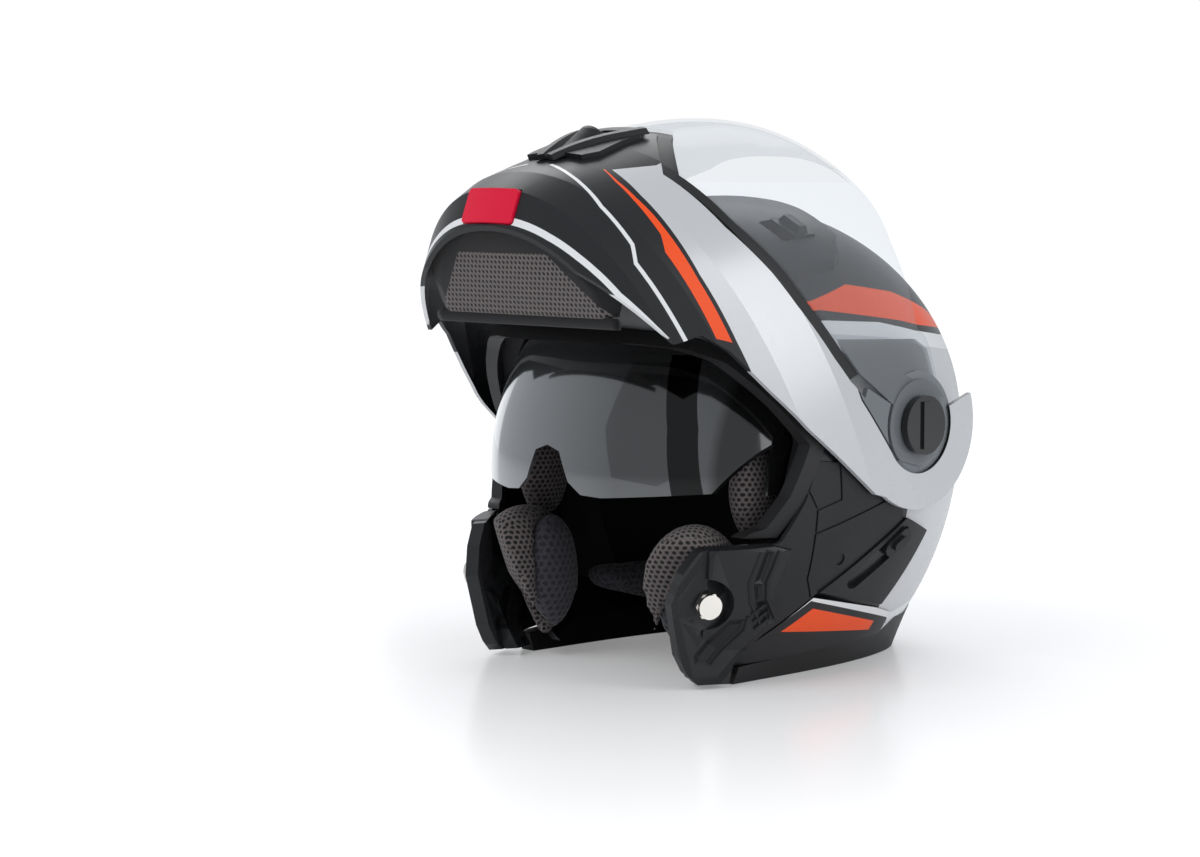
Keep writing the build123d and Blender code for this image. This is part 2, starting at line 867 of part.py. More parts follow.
# Impact liner, hollowed for the sun visor's pocket, its bosses and the pads
liner_foot_shares = ((-1.6, -0.2), (-1.6, 0.40), (-0.10, 0.40), (-0.10, 0.134), (1.6, 0.134), (1.6, -0.2))
with BuildPart() as sun_pocket:
    add(
        barrel(
            -sun_wall - sun_gap,
            sun_gap,
            sun_low_angle - sun_spare_angle,
            sun_top_angle + sun_travel + sun_spare_angle,
            sun_half_width + sun_gap,
        )
    )
    for step in range(4):
        turn = step * (sun_travel + 2 * sun_spare_angle) / 3 - sun_spare_angle
        add(both_sides(sun_ear(sun_gap, sun_ear_low + turn, sun_ear_high + turn)))
with BuildPart() as impact_liner:
    add(egg(-shell_wall - liner_gap))
    add(egg(-shell_wall - liner_gap - liner_thickness), mode=Mode.SUBTRACT)
    add(eyeport, mode=Mode.SUBTRACT)
    add(side_prism(side_points(liner_foot_shares)), mode=Mode.SUBTRACT)
    add(sun_pocket.part, mode=Mode.SUBTRACT)
    with BuildSketch(Plane.YZ):
        with Locations((sun_y, sun_z)):
            Circle(sun_boss_radius + liner_gap)
    extrude(amount=2 * shell_half_width, both=True, mode=Mode.SUBTRACT)
    add(temple_room, mode=Mode.SUBTRACT)
keep("impact_liner", impact_liner.part)
crown_pad_shares = (
    (-0.62, 1.1),
    (-0.62, 0.76),
    (-0.30, 0.60),
    (0.0, 0.47),
    (0.70, 0.40),
    (1.2, 0.40),
    (1.2, 1.1),
)
crown_pad_grow = -shell_wall - liner_gap - liner_thickness - pad_gap
with BuildPart() as crown_pad:
    add(egg(crown_pad_grow))
    add(egg(crown_pad_grow - crown_pad_thickness), mode=Mode.SUBTRACT)
    add(side_prism(side_points(crown_pad_shares)), mode=Mode.INTERSECT)
    add(temple_room, mode=Mode.SUBTRACT)
keep("crown_pad", crown_pad.part)

# Neck roll: a padded tube inside the rim
with BuildPart() as neck_roll:
    with BuildLine(Plane.XY.offset(roll_z)) as roll_line:
        EllipticalCenterArc((0, shell_centre_y), roll_half_width, roll_reach, start_angle=0, arc_size=180)
    with BuildSketch(Plane(origin=roll_line.line @ 0, z_dir=roll_line.line % 0)):
        Circle(roll_radius)
    sweep(path=roll_line.line)
keep("neck_roll", neck_roll.part)

# Chin bar outlines, closed, as shares of its reach or half width and of its height
chin_shares = (
    (-1.2, 0.03),
    (-0.80, 0.03),
    (-0.55, 0.17),
    (-0.545, 0.28),
    (-0.475, 0.355),
    (-0.330, 0.440),
    (-0.180, 0.540),
    (-0.050, 0.650),
    (0.095, 0.770),
    (0.150, 0.880),
    (0.0, 1.161),
    (-0.15, 0.90),
    (-0.240, 0.838),
    (-0.320, 0.805),
    (-0.495, 0.754),
    (-0.60, 0.735),
    (-0.75, 0.688),
    (-1.2, 0.688),
)
tower_shares = ((0.46, 0.66), (0.40, 0.735), (0.225, 0.94), (0.18, 1.0))
visor_shares = (
    (-1.2, 0.688),
    (-0.75, 0.688),
    (-0.60, 0.735),
    (-0.495, 0.754),
    (-0.320, 0.805),
    (-0.240, 0.838),
    (-0.10, 0.970),
    (0.03, 1.095),
    (0.018, 1.30),
    (-0.153, 1.360),
    (-0.19, 1.362),
    (-0.235, 1.317),
    (-0.345, 1.392),
    (-0.46, 1.462),
    (-0.55, 1.592),
    (-0.60, 1.772),
    (-1.2, 1.772),
)
gasket_shares = (
    (-1.2, 0.60),
    (-1.2, 0.688),
    (-0.75, 0.688),
    (-0.60, 0.735),
    (-0.495, 0.754),
    (-0.320, 0.805),
    (-0.240, 0.838),
    (-0.240, 0.70),
)
sector_low = -38.0
sector_high = 95.0
sector_reach = 1.3 * ear_radius


def tower_prism(grow):
    """The raised middle of the chin bar's top edge, with its outline larger by grow."""
    half = [(x * chin_half_width, z * chin_height) for x, z in tower_shares]
    with BuildPart() as block:
        with BuildSketch(Plane.XZ):
            Polygon(*half, *[(-x, z) for x, z in reversed(half)], align=None)
            if grow:
                offset(amount=grow, kind=Kind.INTERSECTION)
        extrude(amount=chin_reach + cut_overrun)
    return block.part


def visor_side(lift):
    """The closed visor's side outline, with its lower edge a given height above the chin bar."""
    points = [(y, z + lift) for y, z in side_points(visor_shares, at_chin)]
    with BuildPart() as block:
        add(side_prism(points))
        add(ear_round(visor_ear_radius))
    return block.part


# Chin bar shell: an open ring round each pivot, which leaves the visor's arm its sweep
ear_near = shell_half_width + ear_clearance
ear_plate_face = ear_near + ear_plate_thickness
visor_ear_near = ear_plate_face + seat_gap
visor_ear_far = visor_ear_near + visor_wall
with BuildPart() as chin_side:
    add(side_prism(side_points(chin_shares, at_chin)))
    add(tower_prism(0))
    add(ear_round(ear_radius))
    add(ear_sector(sector_low, sector_high, sector_reach), mode=Mode.SUBTRACT)
    add(ear_round(ear_recess_radius), mode=Mode.SUBTRACT)

# The release button's own plane lies along the chamfer under the chin bar
chamfer_low = (pivot_y - 0.915 * chin_reach, 0)
chamfer_high = (pivot_y - 1.012 * chin_reach, 0.155 * chin_height)
chamfer_run = Vector(0, chamfer_high[0] - chamfer_low[0], chamfer_high[1] - chamfer_low[1]).normalized()
chamfer_share = 0.62
button_plane = Plane(
    origin=(
        0,
        chamfer_low[0] + chamfer_share * (chamfer_high[0] - chamfer_low[0]),
        chamfer_low[1] + chamfer_share * (chamfer_high[1] - chamfer_low[1]),
    ),
    x_dir=(1, 0, 0),
    z_dir=(0, -chamfer_run.Z, chamfer_run.Y),
)


def button_prism(grow):
    """The release button's outline as a block along its press direction."""
    with BuildPart() as block:
        with BuildSketch(button_plane.offset(-2 * button_length)):
            RectangleRounded(2 * (button_half_width + grow), button_length + 2 * grow, button_proud)
        extrude(amount=4 * button_length)
    return block.part


# Latches: a hook round each stud's neck, hinged on a boss inside the chin bar
latch_pin_plane = cover_plane.offset(latch_gap - seat_gap)
chin_inner = chin_form(chin_wall)
with BuildPart() as latch_boss:
    with BuildSketch(latch_pin_plane):
        with Locations((latch_pin_u, latch_pin_v)):
            Circle(latch_pin_radius)
    extrude(amount=cover_size)
    with BuildSketch(cover_plane.offset(latch_gap + latch_thickness + seat_gap)):
        with Locations((latch_pin_u, latch_pin_v)):
            Circle(latch_pin_radius + latch_wall / 2)
    extrude(amount=cover_size)
    add(chin_form(chin_wall / 2), mode=Mode.INTERSECT)
latch_reach = stud_neck_radius + part_gap
with BuildPart() as latch:
    with BuildSketch(cover_plane.offset(latch_gap)):
        Circle(latch_reach + latch_wall)
        with Locations((latch_pin_u, latch_pin_v)):
            Circle(latch_pin_radius + latch_wall)
        with BuildLine():
            Line((0, 0), (latch_pin_u, latch_pin_v))
        trace(line_width=2 * latch_wall)
        Circle(latch_reach, mode=Mode.SUBTRACT)
        with BuildLine():
            Line((0, 0), (latch_mouth, -latch_mouth))
        trace(line_width=2 * latch_reach, mode=Mode.SUBTRACT)
        with Locations((latch_pin_u, latch_pin_v)):
            Circle(latch_pin_radius + turn_gap, mode=Mode.SUBTRACT)
    extrude(amount=latch_thickness)
keep("latch_left", swing(latch.part))
keep("latch_right", swing(latch.part.mirror(Plane.YZ)))

with BuildPart() as chin_bar_shell:
    add(chin_form(0))
    add(chin_inner, mode=Mode.SUBTRACT)
    add(chin_side.part, mode=Mode.INTERSECT)
    add(both_sides(pivot_disc(ear_plate_radius, 0, ear_plate_face)), mode=Mode.SUBTRACT)
    add(button_prism(button_gap), mode=Mode.SUBTRACT)
    add(both_sides(latch_boss.part))
keep("chin_bar_shell", swing(chin_bar_shell.part))

# Ear plates fill the rings from behind, with a hole for the hub
with BuildPart() as ear_plate:
    add(pivot_disc(ear_plate_radius, ear_near, ear_plate_face))
    add(pivot_disc(hub_radius + turn_gap, 0, 2 * ear_near), mode=Mode.SUBTRACT)
keep("ear_plate_left", swing(ear_plate.part))
keep("ear_plate_right", swing(ear_plate.part.mirror(Plane.YZ)))

with BuildPart() as release_button:
    add(chin_form(-button_proud))
    add(chin_form(button_depth), mode=Mode.SUBTRACT)
    add(button_prism(0), mode=Mode.INTERSECT)
keep("release_button", swing(release_button.part))

# Liner inside the chin bar's front
chin_gap_inset = chin_wall + seat_gap
liner_low_z = curtain_level + curtain_thickness
liner_high_z = 0.66 * chin_height
with BuildPart() as chin_bar_liner:
    with BuildSketch(Plane.XY.offset(liner_low_z)):
        with Locations((0, -chin_reach)):
            Rectangle(2 * chin_liner_half_width, 2 * chin_reach)
    extrude(amount=liner_high_z - liner_low_z)
    add(chin_form(chin_gap_inset), mode=Mode.INTERSECT)
    add(chin_form(chin_gap_inset + chin_liner_thickness), mode=Mode.SUBTRACT)
    add(button_prism(2 * button_gap), mode=Mode.SUBTRACT)
keep("chin_bar_liner", swing(chin_bar_liner.part))

# Curtain under the chin bar: a crowned fabric panel with a firm band along its rear edge
curtain_inner = chin_form(chin_gap_inset + curtain_width)
with BuildPart() as curtain_profile:
    with BuildSketch(Plane.YZ):
        with BuildLine():
            ThreePointArc(
                (curtain_end_y, curtain_level),
                (pivot_y - 0.75 * chin_reach, curtain_level - curtain_crown),
                (pivot_y - chin_reach, curtain_level),
            )
            Polyline(
                (pivot_y - chin_reach, curtain_level),
                (pivot_y - chin_reach, curtain_level + curtain_thickness - seat_gap),
                (curtain_end_y, curtain_level + curtain_thickness - seat_gap),
                (curtain_end_y, curtain_level),
            )
        make_face()
    extrude(amount=chin_half_width, both=True)
with BuildPart() as cover_space:
    with BuildSketch(Plane.XY):
        with Locations((chin_liner_half_width + chin_reach, 0), (-chin_liner_half_width - chin_reach, 0)):
            Rectangle(2 * chin_reach, 2 * (cover_size * curtain_room_share - cover_y))
    extrude(amount=chin_height, both=True)
with BuildPart() as chin_curtain:
    add(curtain_profile.part)
    add(chin_form(chin_gap_inset), mode=Mode.INTERSECT)
    add(curtain_inner, mode=Mode.SUBTRACT)
    add(button_prism(2 * button_gap), mode=Mode.SUBTRACT)
    add(cover_space.part, mode=Mode.SUBTRACT)
keep("chin_curtain", swing(chin_curtain.part))
with BuildPart() as curtain_band:
    with BuildSketch(Plane.XY.offset(curtain_level - curtain_crown)):
        with Locations((0, curtain_end_y - chin_reach / 2)):
            Rectangle(2 * chin_half_width, chin_reach)
    extrude(amount=curtain_crown + curtain_thickness - seat_gap)
    add(curtain_inner, mode=Mode.INTERSECT)
    add(chin_form(chin_gap_inset + curtain_width + band_width), mode=Mode.SUBTRACT)
    add(cover_space.part, mode=Mode.SUBTRACT)
keep("curtain_band", swing(curtain_band.part))

# Chin vent: a raised cover with louvres and a sliding shutter on the tower
vent_shares = ((0.155, 0.545), (0.19, 0.62), (0.175, 0.90), (0.13, 0.985))
vent_points = [(x * chin_half_width, z * chin_height) for x, z in vent_shares]
vent_points = vent_points + [(-x, z) for x, z in reversed(vent_points)]
vent_face_low = (pivot_y - 0.98 * chin_reach, 0.76 * chin_height)
vent_face_high = (pivot_y - 0.953 * chin_reach, chin_height)
vent_run = Vector(0, vent_face_high[0] - vent_face_low[0], vent_face_high[1] - vent_face_low[1]).normalized()
vent_plane = Plane(
    origin=(0, vent_face_low[0] - vent_proud, vent_face_low[1]),
    x_dir=(1, 0, 0),
    z_dir=(0, -vent_run.Z, vent_run.Y),
)
vent_slot_length = vent_slider_length + vent_slider_travel + 2 * part_gap
vent_slot_centre = vent_slot_length / 2 + part_gap
with BuildPart() as chin_vent_cover:
    add(front_prism(vent_points))
    add(chin_form(-vent_proud), mode=Mode.INTERSECT)
    add(chin_form(0), mode=Mode.SUBTRACT)
    with BuildSketch(vent_plane.offset(-vent_slider_width)):
        with Locations((0, vent_slot_centre)):
            Rectangle(vent_slider_width + 2 * part_gap, vent_slot_length)
        with Locations((0, -vent_slat_height - part_gap)):
            with GridLocations(0, 2 * vent_slat_height, 1, 3):
                Rectangle(2 * vent_slat_half_width, vent_slat_height)
    extrude(amount=2 * vent_slider_width, mode=Mode.SUBTRACT)
keep("chin_vent_cover", swing(chin_vent_cover.part))
with BuildPart() as chin_vent_slider:
    with BuildSketch(vent_plane.offset(2 * seat_gap - vent_proud)):
        with Locations((0, vent_slot_centre - vent_slider_travel / 2)):
            Rectangle(vent_slider_width, vent_slider_length)
    extrude(amount=vent_proud)
    with BuildSketch(vent_plane.offset(2 * seat_gap)):
        with Locations((0, vent_slot_centre - vent_slider_travel / 2)):
            Rectangle(vent_slider_width, vent_slider_length / 3)
    extrude(amount=vent_slider_rise - 2 * seat_gap)
keep("chin_vent_slider", swing(chin_vent_slider.part))

# Gasket between the chin bar's top edge and the visor
with BuildPart() as gasket_side:
    add(side_prism([(y, z + visor_gap - gasket_gap) for y, z in side_points(gasket_shares, at_chin)]))
    add(tower_prism(visor_gap - gasket_gap))
    add(chin_side.part, mode=Mode.SUBTRACT)
    add(ear_round(ear_radius), mode=Mode.SUBTRACT)
with BuildPart() as visor_gasket:
    add(chin_form(gasket_inset))
    add(chin_inner, mode=Mode.SUBTRACT)
    add(gasket_side.part, mode=Mode.INTERSECT)
keep("visor_gasket", swing(visor_gasket.part))

# Clear visor with a flat ear on each hub
with BuildPart() as visor:
    add(visor_form(0))
    add(visor_form(visor_wall), mode=Mode.SUBTRACT)
    add(visor_side(visor_gap), mode=Mode.INTERSECT)
    add(tower_prism(visor_gap), mode=Mode.SUBTRACT)
    add(both_sides(pivot_disc(ear_plate_radius + seat_gap, 0, visor_ear_near)), mode=Mode.SUBTRACT)
    add(both_sides(pivot_disc(visor_ear_radius, visor_ear_near, visor_ear_far)))
    add(ear_round(hub_radius + turn_gap), mode=Mode.SUBTRACT)
keep("visor", swing(visor.part))

# Hubs fixed to the shell, and quarter-turn knobs in their bores
knob_near = visor_ear_far + seat_gap
with BuildPart() as pivot_hub:
    add(pivot_disc(hub_flange_radius, 0, ear_near - hub_flange_gap))
    add(whole_egg, mode=Mode.SUBTRACT)
    add(pivot_disc(hub_radius, shell_half_width - ear_plate_thickness, knob_near - hub_flange_gap))
    add(whole_egg, mode=Mode.SUBTRACT)
    add(pivot_disc(knob_pin_radius + turn_gap, knob_near - knob_pin_length, knob_near), mode=Mode.SUBTRACT)
keep_pair("pivot_hub", pivot_hub.part)
with BuildPart() as pivot_knob:
    add(pivot_disc(knob_radius, knob_near, knob_near + knob_thickness))
    add(pivot_disc(knob_pin_radius, knob_near - knob_pin_length + seat_gap, knob_near))
    with BuildSketch(Plane.YZ.offset(knob_near + knob_thickness)):
        with Locations((pivot_y, pivot_z)):
            Rectangle(knob_ridge_width, 1.6 * knob_radius)
    extrude(amount=knob_ridge_rise)
keep_pair("pivot_knob", pivot_knob.part)

# The origin lies under the middle of the whole helmet, on the level that it stands on
boxes = [part.bounding_box() for part in pieces.values()]
middle_y = (min(box.min.Y for box in boxes) + max(box.max.Y for box in boxes)) / 2
lowest_z = min(box.min.Z for box in boxes)
print("origin shift", -middle_y, -lowest_z)
for name, part in pieces.items():
    shifted = part.moved(Location((0, -middle_y, -lowest_z)))
    shifted.label = name
    export_step(shifted, f"parts/{name}.step")
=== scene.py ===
import json
import math

import bmesh
import bpy
import numpy
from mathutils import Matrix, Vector
from mathutils.bvhtree import BVHTree


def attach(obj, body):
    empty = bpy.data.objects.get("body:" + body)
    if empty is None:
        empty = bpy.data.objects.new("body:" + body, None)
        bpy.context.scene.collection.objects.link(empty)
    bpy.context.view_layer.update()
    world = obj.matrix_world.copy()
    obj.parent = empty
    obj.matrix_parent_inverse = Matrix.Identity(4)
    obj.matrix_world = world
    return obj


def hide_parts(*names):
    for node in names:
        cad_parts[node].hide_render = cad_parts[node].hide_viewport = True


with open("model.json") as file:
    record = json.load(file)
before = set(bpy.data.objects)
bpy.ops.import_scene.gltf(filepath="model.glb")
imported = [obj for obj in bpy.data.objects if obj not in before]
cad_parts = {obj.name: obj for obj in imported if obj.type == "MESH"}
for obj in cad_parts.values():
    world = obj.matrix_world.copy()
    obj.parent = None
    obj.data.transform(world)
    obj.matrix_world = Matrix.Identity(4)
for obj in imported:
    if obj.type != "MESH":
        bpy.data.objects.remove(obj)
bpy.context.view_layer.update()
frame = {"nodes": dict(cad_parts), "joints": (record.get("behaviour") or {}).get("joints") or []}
nodes = frame["nodes"]
joint_named = {joint["name"]: joint for joint in frame["joints"]}

# The chin bar is stored swung up about this hinge; paint places are given for it closed
LIFT = math.radians(66.0)
COS_LIFT, SIN_LIFT = math.cos(LIFT), math.sin(LIFT)
PIVOT = Vector(joint_named["chin_bar_lift"]["pos_m"])
SHIFT_Y = PIVOT.y - 0.005
MM = 0.001


def closed_to_row(x, y, z):
    """A point of the closed chin bar, in millimetres, at its stored place in metres."""
    rel_y = y * MM + SHIFT_Y - PIVOT.y
    rel_z = z * MM - PIVOT.z
    stored_y = PIVOT.y + COS_LIFT * rel_y + SIN_LIFT * rel_z
    return Vector((x * MM, stored_y, PIVOT.z - SIN_LIFT * rel_y + COS_LIFT * rel_z))


def closed_place(point):
    """The closed place, in millimetres, of a stored chin bar point in metres."""
    rel_y, rel_z = point.y - PIVOT.y, point.z - PIVOT.z
    closed_y = COS_LIFT * rel_y - SIN_LIFT * rel_z + PIVOT.y - SHIFT_Y
    return Vector((point.x, closed_y, SIN_LIFT * rel_y + COS_LIFT * rel_z + PIVOT.z)) / MM


# Camera
camera_data = bpy.data.cameras.new("camera")
camera_data.lens = 90.0
camera_data.sensor_width = 36.0
camera = bpy.data.objects.new("camera", camera_data)
bpy.context.scene.collection.objects.link(camera)
AZIMUTH = math.radians(45.5)
TILT = math.radians(5.076)
camera.location = (1.1629, -1.2473 + SHIFT_Y, 0.278)
look = Vector((-math.sin(AZIMUTH) * math.cos(TILT), math.cos(AZIMUTH) * math.cos(TILT), -math.sin(TILT)))
camera.rotation_euler = look.to_track_quat("-Z", "Y").to_euler()
bpy.context.scene.camera = camera
bpy.context.scene.view_settings.view_transform = "Standard"


class Value:
    """A number on the surface, built as a chain of math nodes."""

    def __init__(self, net, source):
        self.net = net
        self.source = source

    def _plug(self, node, index):
        if isinstance(self.source, (int, float)):
            node.inputs[index].default_value = self.source
        else:
            self.net.links.new(self.source, node.inputs[index])

    def op(self, name, *others, clamp=False):
        node = self.net.nodes.new("ShaderNodeMath")
        node.operation = name
        node.use_clamp = clamp
        self._plug(node, 0)
        for index, other in enumerate(others, start=1):
            value = other if isinstance(other, Value) else Value(self.net, other)
            value._plug(node, index)
        return Value(self.net, node.outputs[0])

    def __add__(self, other):
        return self.op("ADD", other)

    def __sub__(self, other):
        return self.op("SUBTRACT", other)

    def __mul__(self, other):
        return self.op("MULTIPLY", other)

    def __truediv__(self, other):
        return self.op("DIVIDE", other)

    def least(self, other):
        return self.op("MINIMUM", other)

    def most(self, other):
        return self.op("MAXIMUM", other)

    def clamp(self):
        return self.op("MULTIPLY", 1.0, clamp=True)

    def edge(self, width=0.0002):
        """0 below zero and 1 above it, softened over a width."""
        return self.op("MULTIPLY_ADD", 1.0 / width, 0.5, clamp=True)


class Net:
    """One material and its node tree."""

    def __init__(self, name):
        self.material = bpy.data.materials.new(name)
        self.material.use_nodes = True
        self.nodes = self.material.node_tree.nodes
        self.links = self.material.node_tree.links
        self.nodes.clear()
        self.out = self.nodes.new("ShaderNodeOutputMaterial")
        self.bsdf = self.nodes.new("ShaderNodeBsdfPrincipled")
        self.links.new(self.bsdf.outputs[0], self.out.inputs["Surface"])
        self.coords = self.nodes.new("ShaderNodeTexCoord")
        self.place = self.coords.outputs["Object"]

    def xyz(self):
        split = self.nodes.new("ShaderNodeSeparateXYZ")
        self.links.new(self.place, split.inputs[0])
        return [Value(self, split.outputs[axis]) for axis in range(3)]

    def noise(self, scale, detail=2.0, rough=0.5):
        node = self.nodes.new("ShaderNodeTexNoise")
        node.inputs["Scale"].default_value = scale
        node.inputs["Detail"].default_value = detail
        node.inputs["Roughness"].default_value = rough
        self.links.new(self.place, node.inputs["Vector"])
        return Value(self, node.outputs[0])

    def mix(self, mask, low, high):
        """A colour between two, each given as a colour or a socket."""
        node = self.nodes.new("ShaderNodeMix")
        node.data_type = "RGBA"
        mask._plug(node, 0)
        for index, colour in ((6, low), (7, high)):
            if isinstance(colour, tuple):
                node.inputs[index].default_value = (*colour, 1.0)
            else:
                self.links.new(colour, node.inputs[index])
        return node.outputs[2]

    def shade(self, **sockets):
        """Sets sockets of the surface shader by name, to a number, a colour or a chain."""
        names = {
            "colour": "Base Color",
            "rough": "Roughness",
            "metal": "Metallic",
            "coat": "Coat Weight",
            "sheen": "Sheen Weight",
            "sheen_rough": "Sheen Roughness",
            "specular": "Specular IOR Level",
        }
        for key, value in sockets.items():
            socket = self.bsdf.inputs[names[key]]
            if isinstance(value, Value):
                self.links.new(value.source, socket)
            elif isinstance(value, (int, float)):
                socket.default_value = value
            elif isinstance(value, tuple):
                socket.default_value = (*value, 1.0)
            else:
                self.links.new(value, socket)

    def bump(self, height, distance, strength=1.0):
        node = self.nodes.new("ShaderNodeBump")
        node.inputs["Strength"].default_value = strength
        node.inputs["Distance"].default_value = distance
        self.links.new(height.source, node.inputs["Height"])
        self.links.new(node.outputs[0], self.bsdf.inputs["Normal"])


BLACK = (0.016, 0.017, 0.019)
SILVER = (0.66, 0.67, 0.69)
WHITE = (0.86, 0.87, 0.88)
ORANGE = (1.0, 0.095, 0.012)
SMOKE = (0.21, 0.225, 0.24)


def convex(u, v, corners):
    """Distance inside a convex outline, in metres, from corners in millimetres."""
    count = len(corners)
    area = sum(corners[i - 1][0] * corners[i][1] - corners[i][0] * corners[i - 1][1] for i in range(count))
    ring = corners if area > 0 else corners[::-1]
    inside = None
    for i in range(len(ring)):
        (x0, y0), (x1, y1) = ring[i - 1], ring[i]
        length = math.hypot(x1 - x0, y1 - y0)
        a, b = -(y1 - y0) / length, (x1 - x0) / length
        c = -(a * x0 + b * y0) * MM
        gap = (v * b + c) + u * a
        inside = gap if inside is None else inside.least(gap)
    return inside


def region(u, v, shapes):
    """Mask of several convex outlines together."""
    inside = None
    for corners in shapes:
        gap = convex(u, v, corners)
        inside = gap if inside is None else inside.most(gap)
    return (inside + 0.0001).edge()


def band(points, width):
    """Convex quads along a line of points, mitred at the bends."""
    sides = []
    for i, (x, y) in enumerate(points):
        normals = []
        for j in (i - 1, i):
            if 0 <= j < len(points) - 1:
                dx, dy = points[j + 1][0] - points[j][0], points[j + 1][1] - points[j][1]
                length = math.hypot(dx, dy)
                normals.append((-dy / length, dx / length))
        nx = sum(n[0] for n in normals)
        ny = sum(n[1] for n in normals)
        length = math.hypot(nx, ny)
        nx, ny = nx / length, ny / length
        reach = width / 2 / max(0.5, nx * normals[0][0] + ny * normals[0][1])
        sides.append(((x + nx * reach, y + ny * reach), (x - nx * reach, y - ny * reach)))
    return [[sides[i][0], sides[i + 1][0], sides[i + 1][1], sides[i][1]] for i in range(len(points) - 1)]


def strip(upper, lower):
    """Convex quads between two lines with as many points each."""
    return [[upper[i], upper[i + 1], lower[i + 1], lower[i]] for i in range(len(upper) - 1)]


def facing_out(net, middle):
    """1 on skins that face away from a middle point, 0 on those that face it."""
    away = net.nodes.new("ShaderNodeVectorMath")
    away.operation = "SUBTRACT"
    net.links.new(net.place, away.inputs[0])
    away.inputs[1].default_value = middle
    dot = net.nodes.new("ShaderNodeVectorMath")
    dot.operation = "DOT_PRODUCT"
    net.links.new(away.outputs[0], dot.inputs[0])
    net.links.new(net.coords.outputs["Normal"], dot.inputs[1])
    return Value(net, dot.outputs["Value"]).edge(0.002)


def sideways(net):
    """1 on skins that face left or right, 0 on those that face along or up."""
    split = net.nodes.new("ShaderNodeSeparateXYZ")
    net.links.new(net.coords.outputs["Normal"], split.inputs[0])
    return (Value(net, split.outputs[0]).op("ABSOLUTE") - 0.3).edge(0.05)


def wear(net, value, amount, scale):
    """A chain varied a little by a soft cloud."""
    return (net.noise(scale, 3.0) - 0.5) * amount + value


def plain(name, colour, rough, grain=0.0, cloud=0.05, **more):
    """Moulded plastic or rubber: a fine grain, and a roughness that drifts a little."""
    net = Net(name)
    drift = net.noise(9.0, 3.0)
    deep = tuple(c * 0.86 for c in colour)
    net.shade(colour=net.mix(drift, deep, tuple(min(1.0, c * 1.12) for c in colour)))
    net.shade(rough=wear(net, rough, cloud, 30.0), **more)
    if grain:
        net.bump(net.noise(2600.0, 1.0), 0.00006, grain)
    return net


satin = plain("satin_black", BLACK, 0.42, grain=0.25, specular=0.32)
trim_skin = plain("trim_rubber", (0.012, 0.012, 0.013), 0.5, grain=0.3)
glossy_black = plain("gloss_black", (0.010, 0.010, 0.011), 0.14, cloud=0.03, coat=0.6)
foam = plain("liner_foam", (0.012, 0.012, 0.014), 0.9, grain=0.6)
smoke_plastic = plain("smoke_plastic", SMOKE, 0.2, cloud=0.03, coat=0.3)
red = plain("button_red", (0.80, 0.006, 0.045), 0.34, cloud=0.04, specular=0.3)
steel = plain("bright_steel", (0.86, 0.83, 0.78), 0.18, cloud=0.05, metal=1.0)


# The chin bar's bend is measured round an upright axis, in millimetres
BEND_Y = 60.0
BEND_RADIUS = 120.0


def chin_place(net):
    """Along the closed chin bar's bend from its middle, and height above its foot, in metres."""
    x, y, z = net.xyz()
    rel_y = y - PIVOT.y
    rel_z = z - PIVOT.z
    closed_y = rel_y * COS_LIFT - rel_z * SIN_LIFT + (PIVOT.y - SHIFT_Y)
    closed_z = rel_y * SIN_LIFT + rel_z * COS_LIFT + PIVOT.z
    angle = x.op("ABSOLUTE").op("ARCTAN2", (closed_y * -1.0) - BEND_Y * MM)
    return angle * (BEND_RADIUS * MM), closed_z


def along(point):
    """A measured point of the closed chin bar in the place that chin_place gives, in millimetres."""
    x, y, z = point
    return (math.atan2(abs(x), -y - BEND_Y) * BEND_RADIUS, z)


# Paint lines of the closed chin bar, in millimetres
silver_edge = [
    (41, -177, 64), (63, -166, 58), (80, -150, 54.5), (97, -125, 50), (110, -88, 47.5), (116, -70, 47)
]
silver_front = [(52, -170.5, 85), (52, -170.5, 130)]
orange_top = [
    (38, -178.5, 61.5), (49, -174, 57.5), (62, -165, 54.5), (73, -157, 53), (80, -149, 51.5),
    (97, -123, 47.5), (110, -89, 45),
]
orange_low = [
    (38, -178.5, 61), (49, -174, 56.2), (62, -165, 52.3), (73, -156, 49.5), (80, -148.5, 47.6),
    (85, -141, 42.5), (106, -94, 38.8),
]
white_upper = [
    (9, -186, 52.3), (30, -180, 44.5), (56.5, -169.5, 35.2), (74.5, -150, 31.4), (78.5, -142, 26.2),
    (99, -97, 25),
]
white_lower = [
    (8, -176, 6.4), (41.7, -165.7, 7.2), (58.7, -153.4, 8.2), (70, -141.8, 9.4), (77, -131.5, 10.2),
    (84, -122, 12.6), (90, -111.4, 15.2), (93, -103, 17.4),
]
PAINT_TOP = 220
# Round each pivot, the mechanism's plate under the visor, in side view as stored
plate_ring = [
    (-25, 185), (35, 183), (46, 177), (54, 148), (55, 136), (48, 119), (36, 114), (15, 119), (-12, 153)
]
PLATE_INNER_X = 0.118

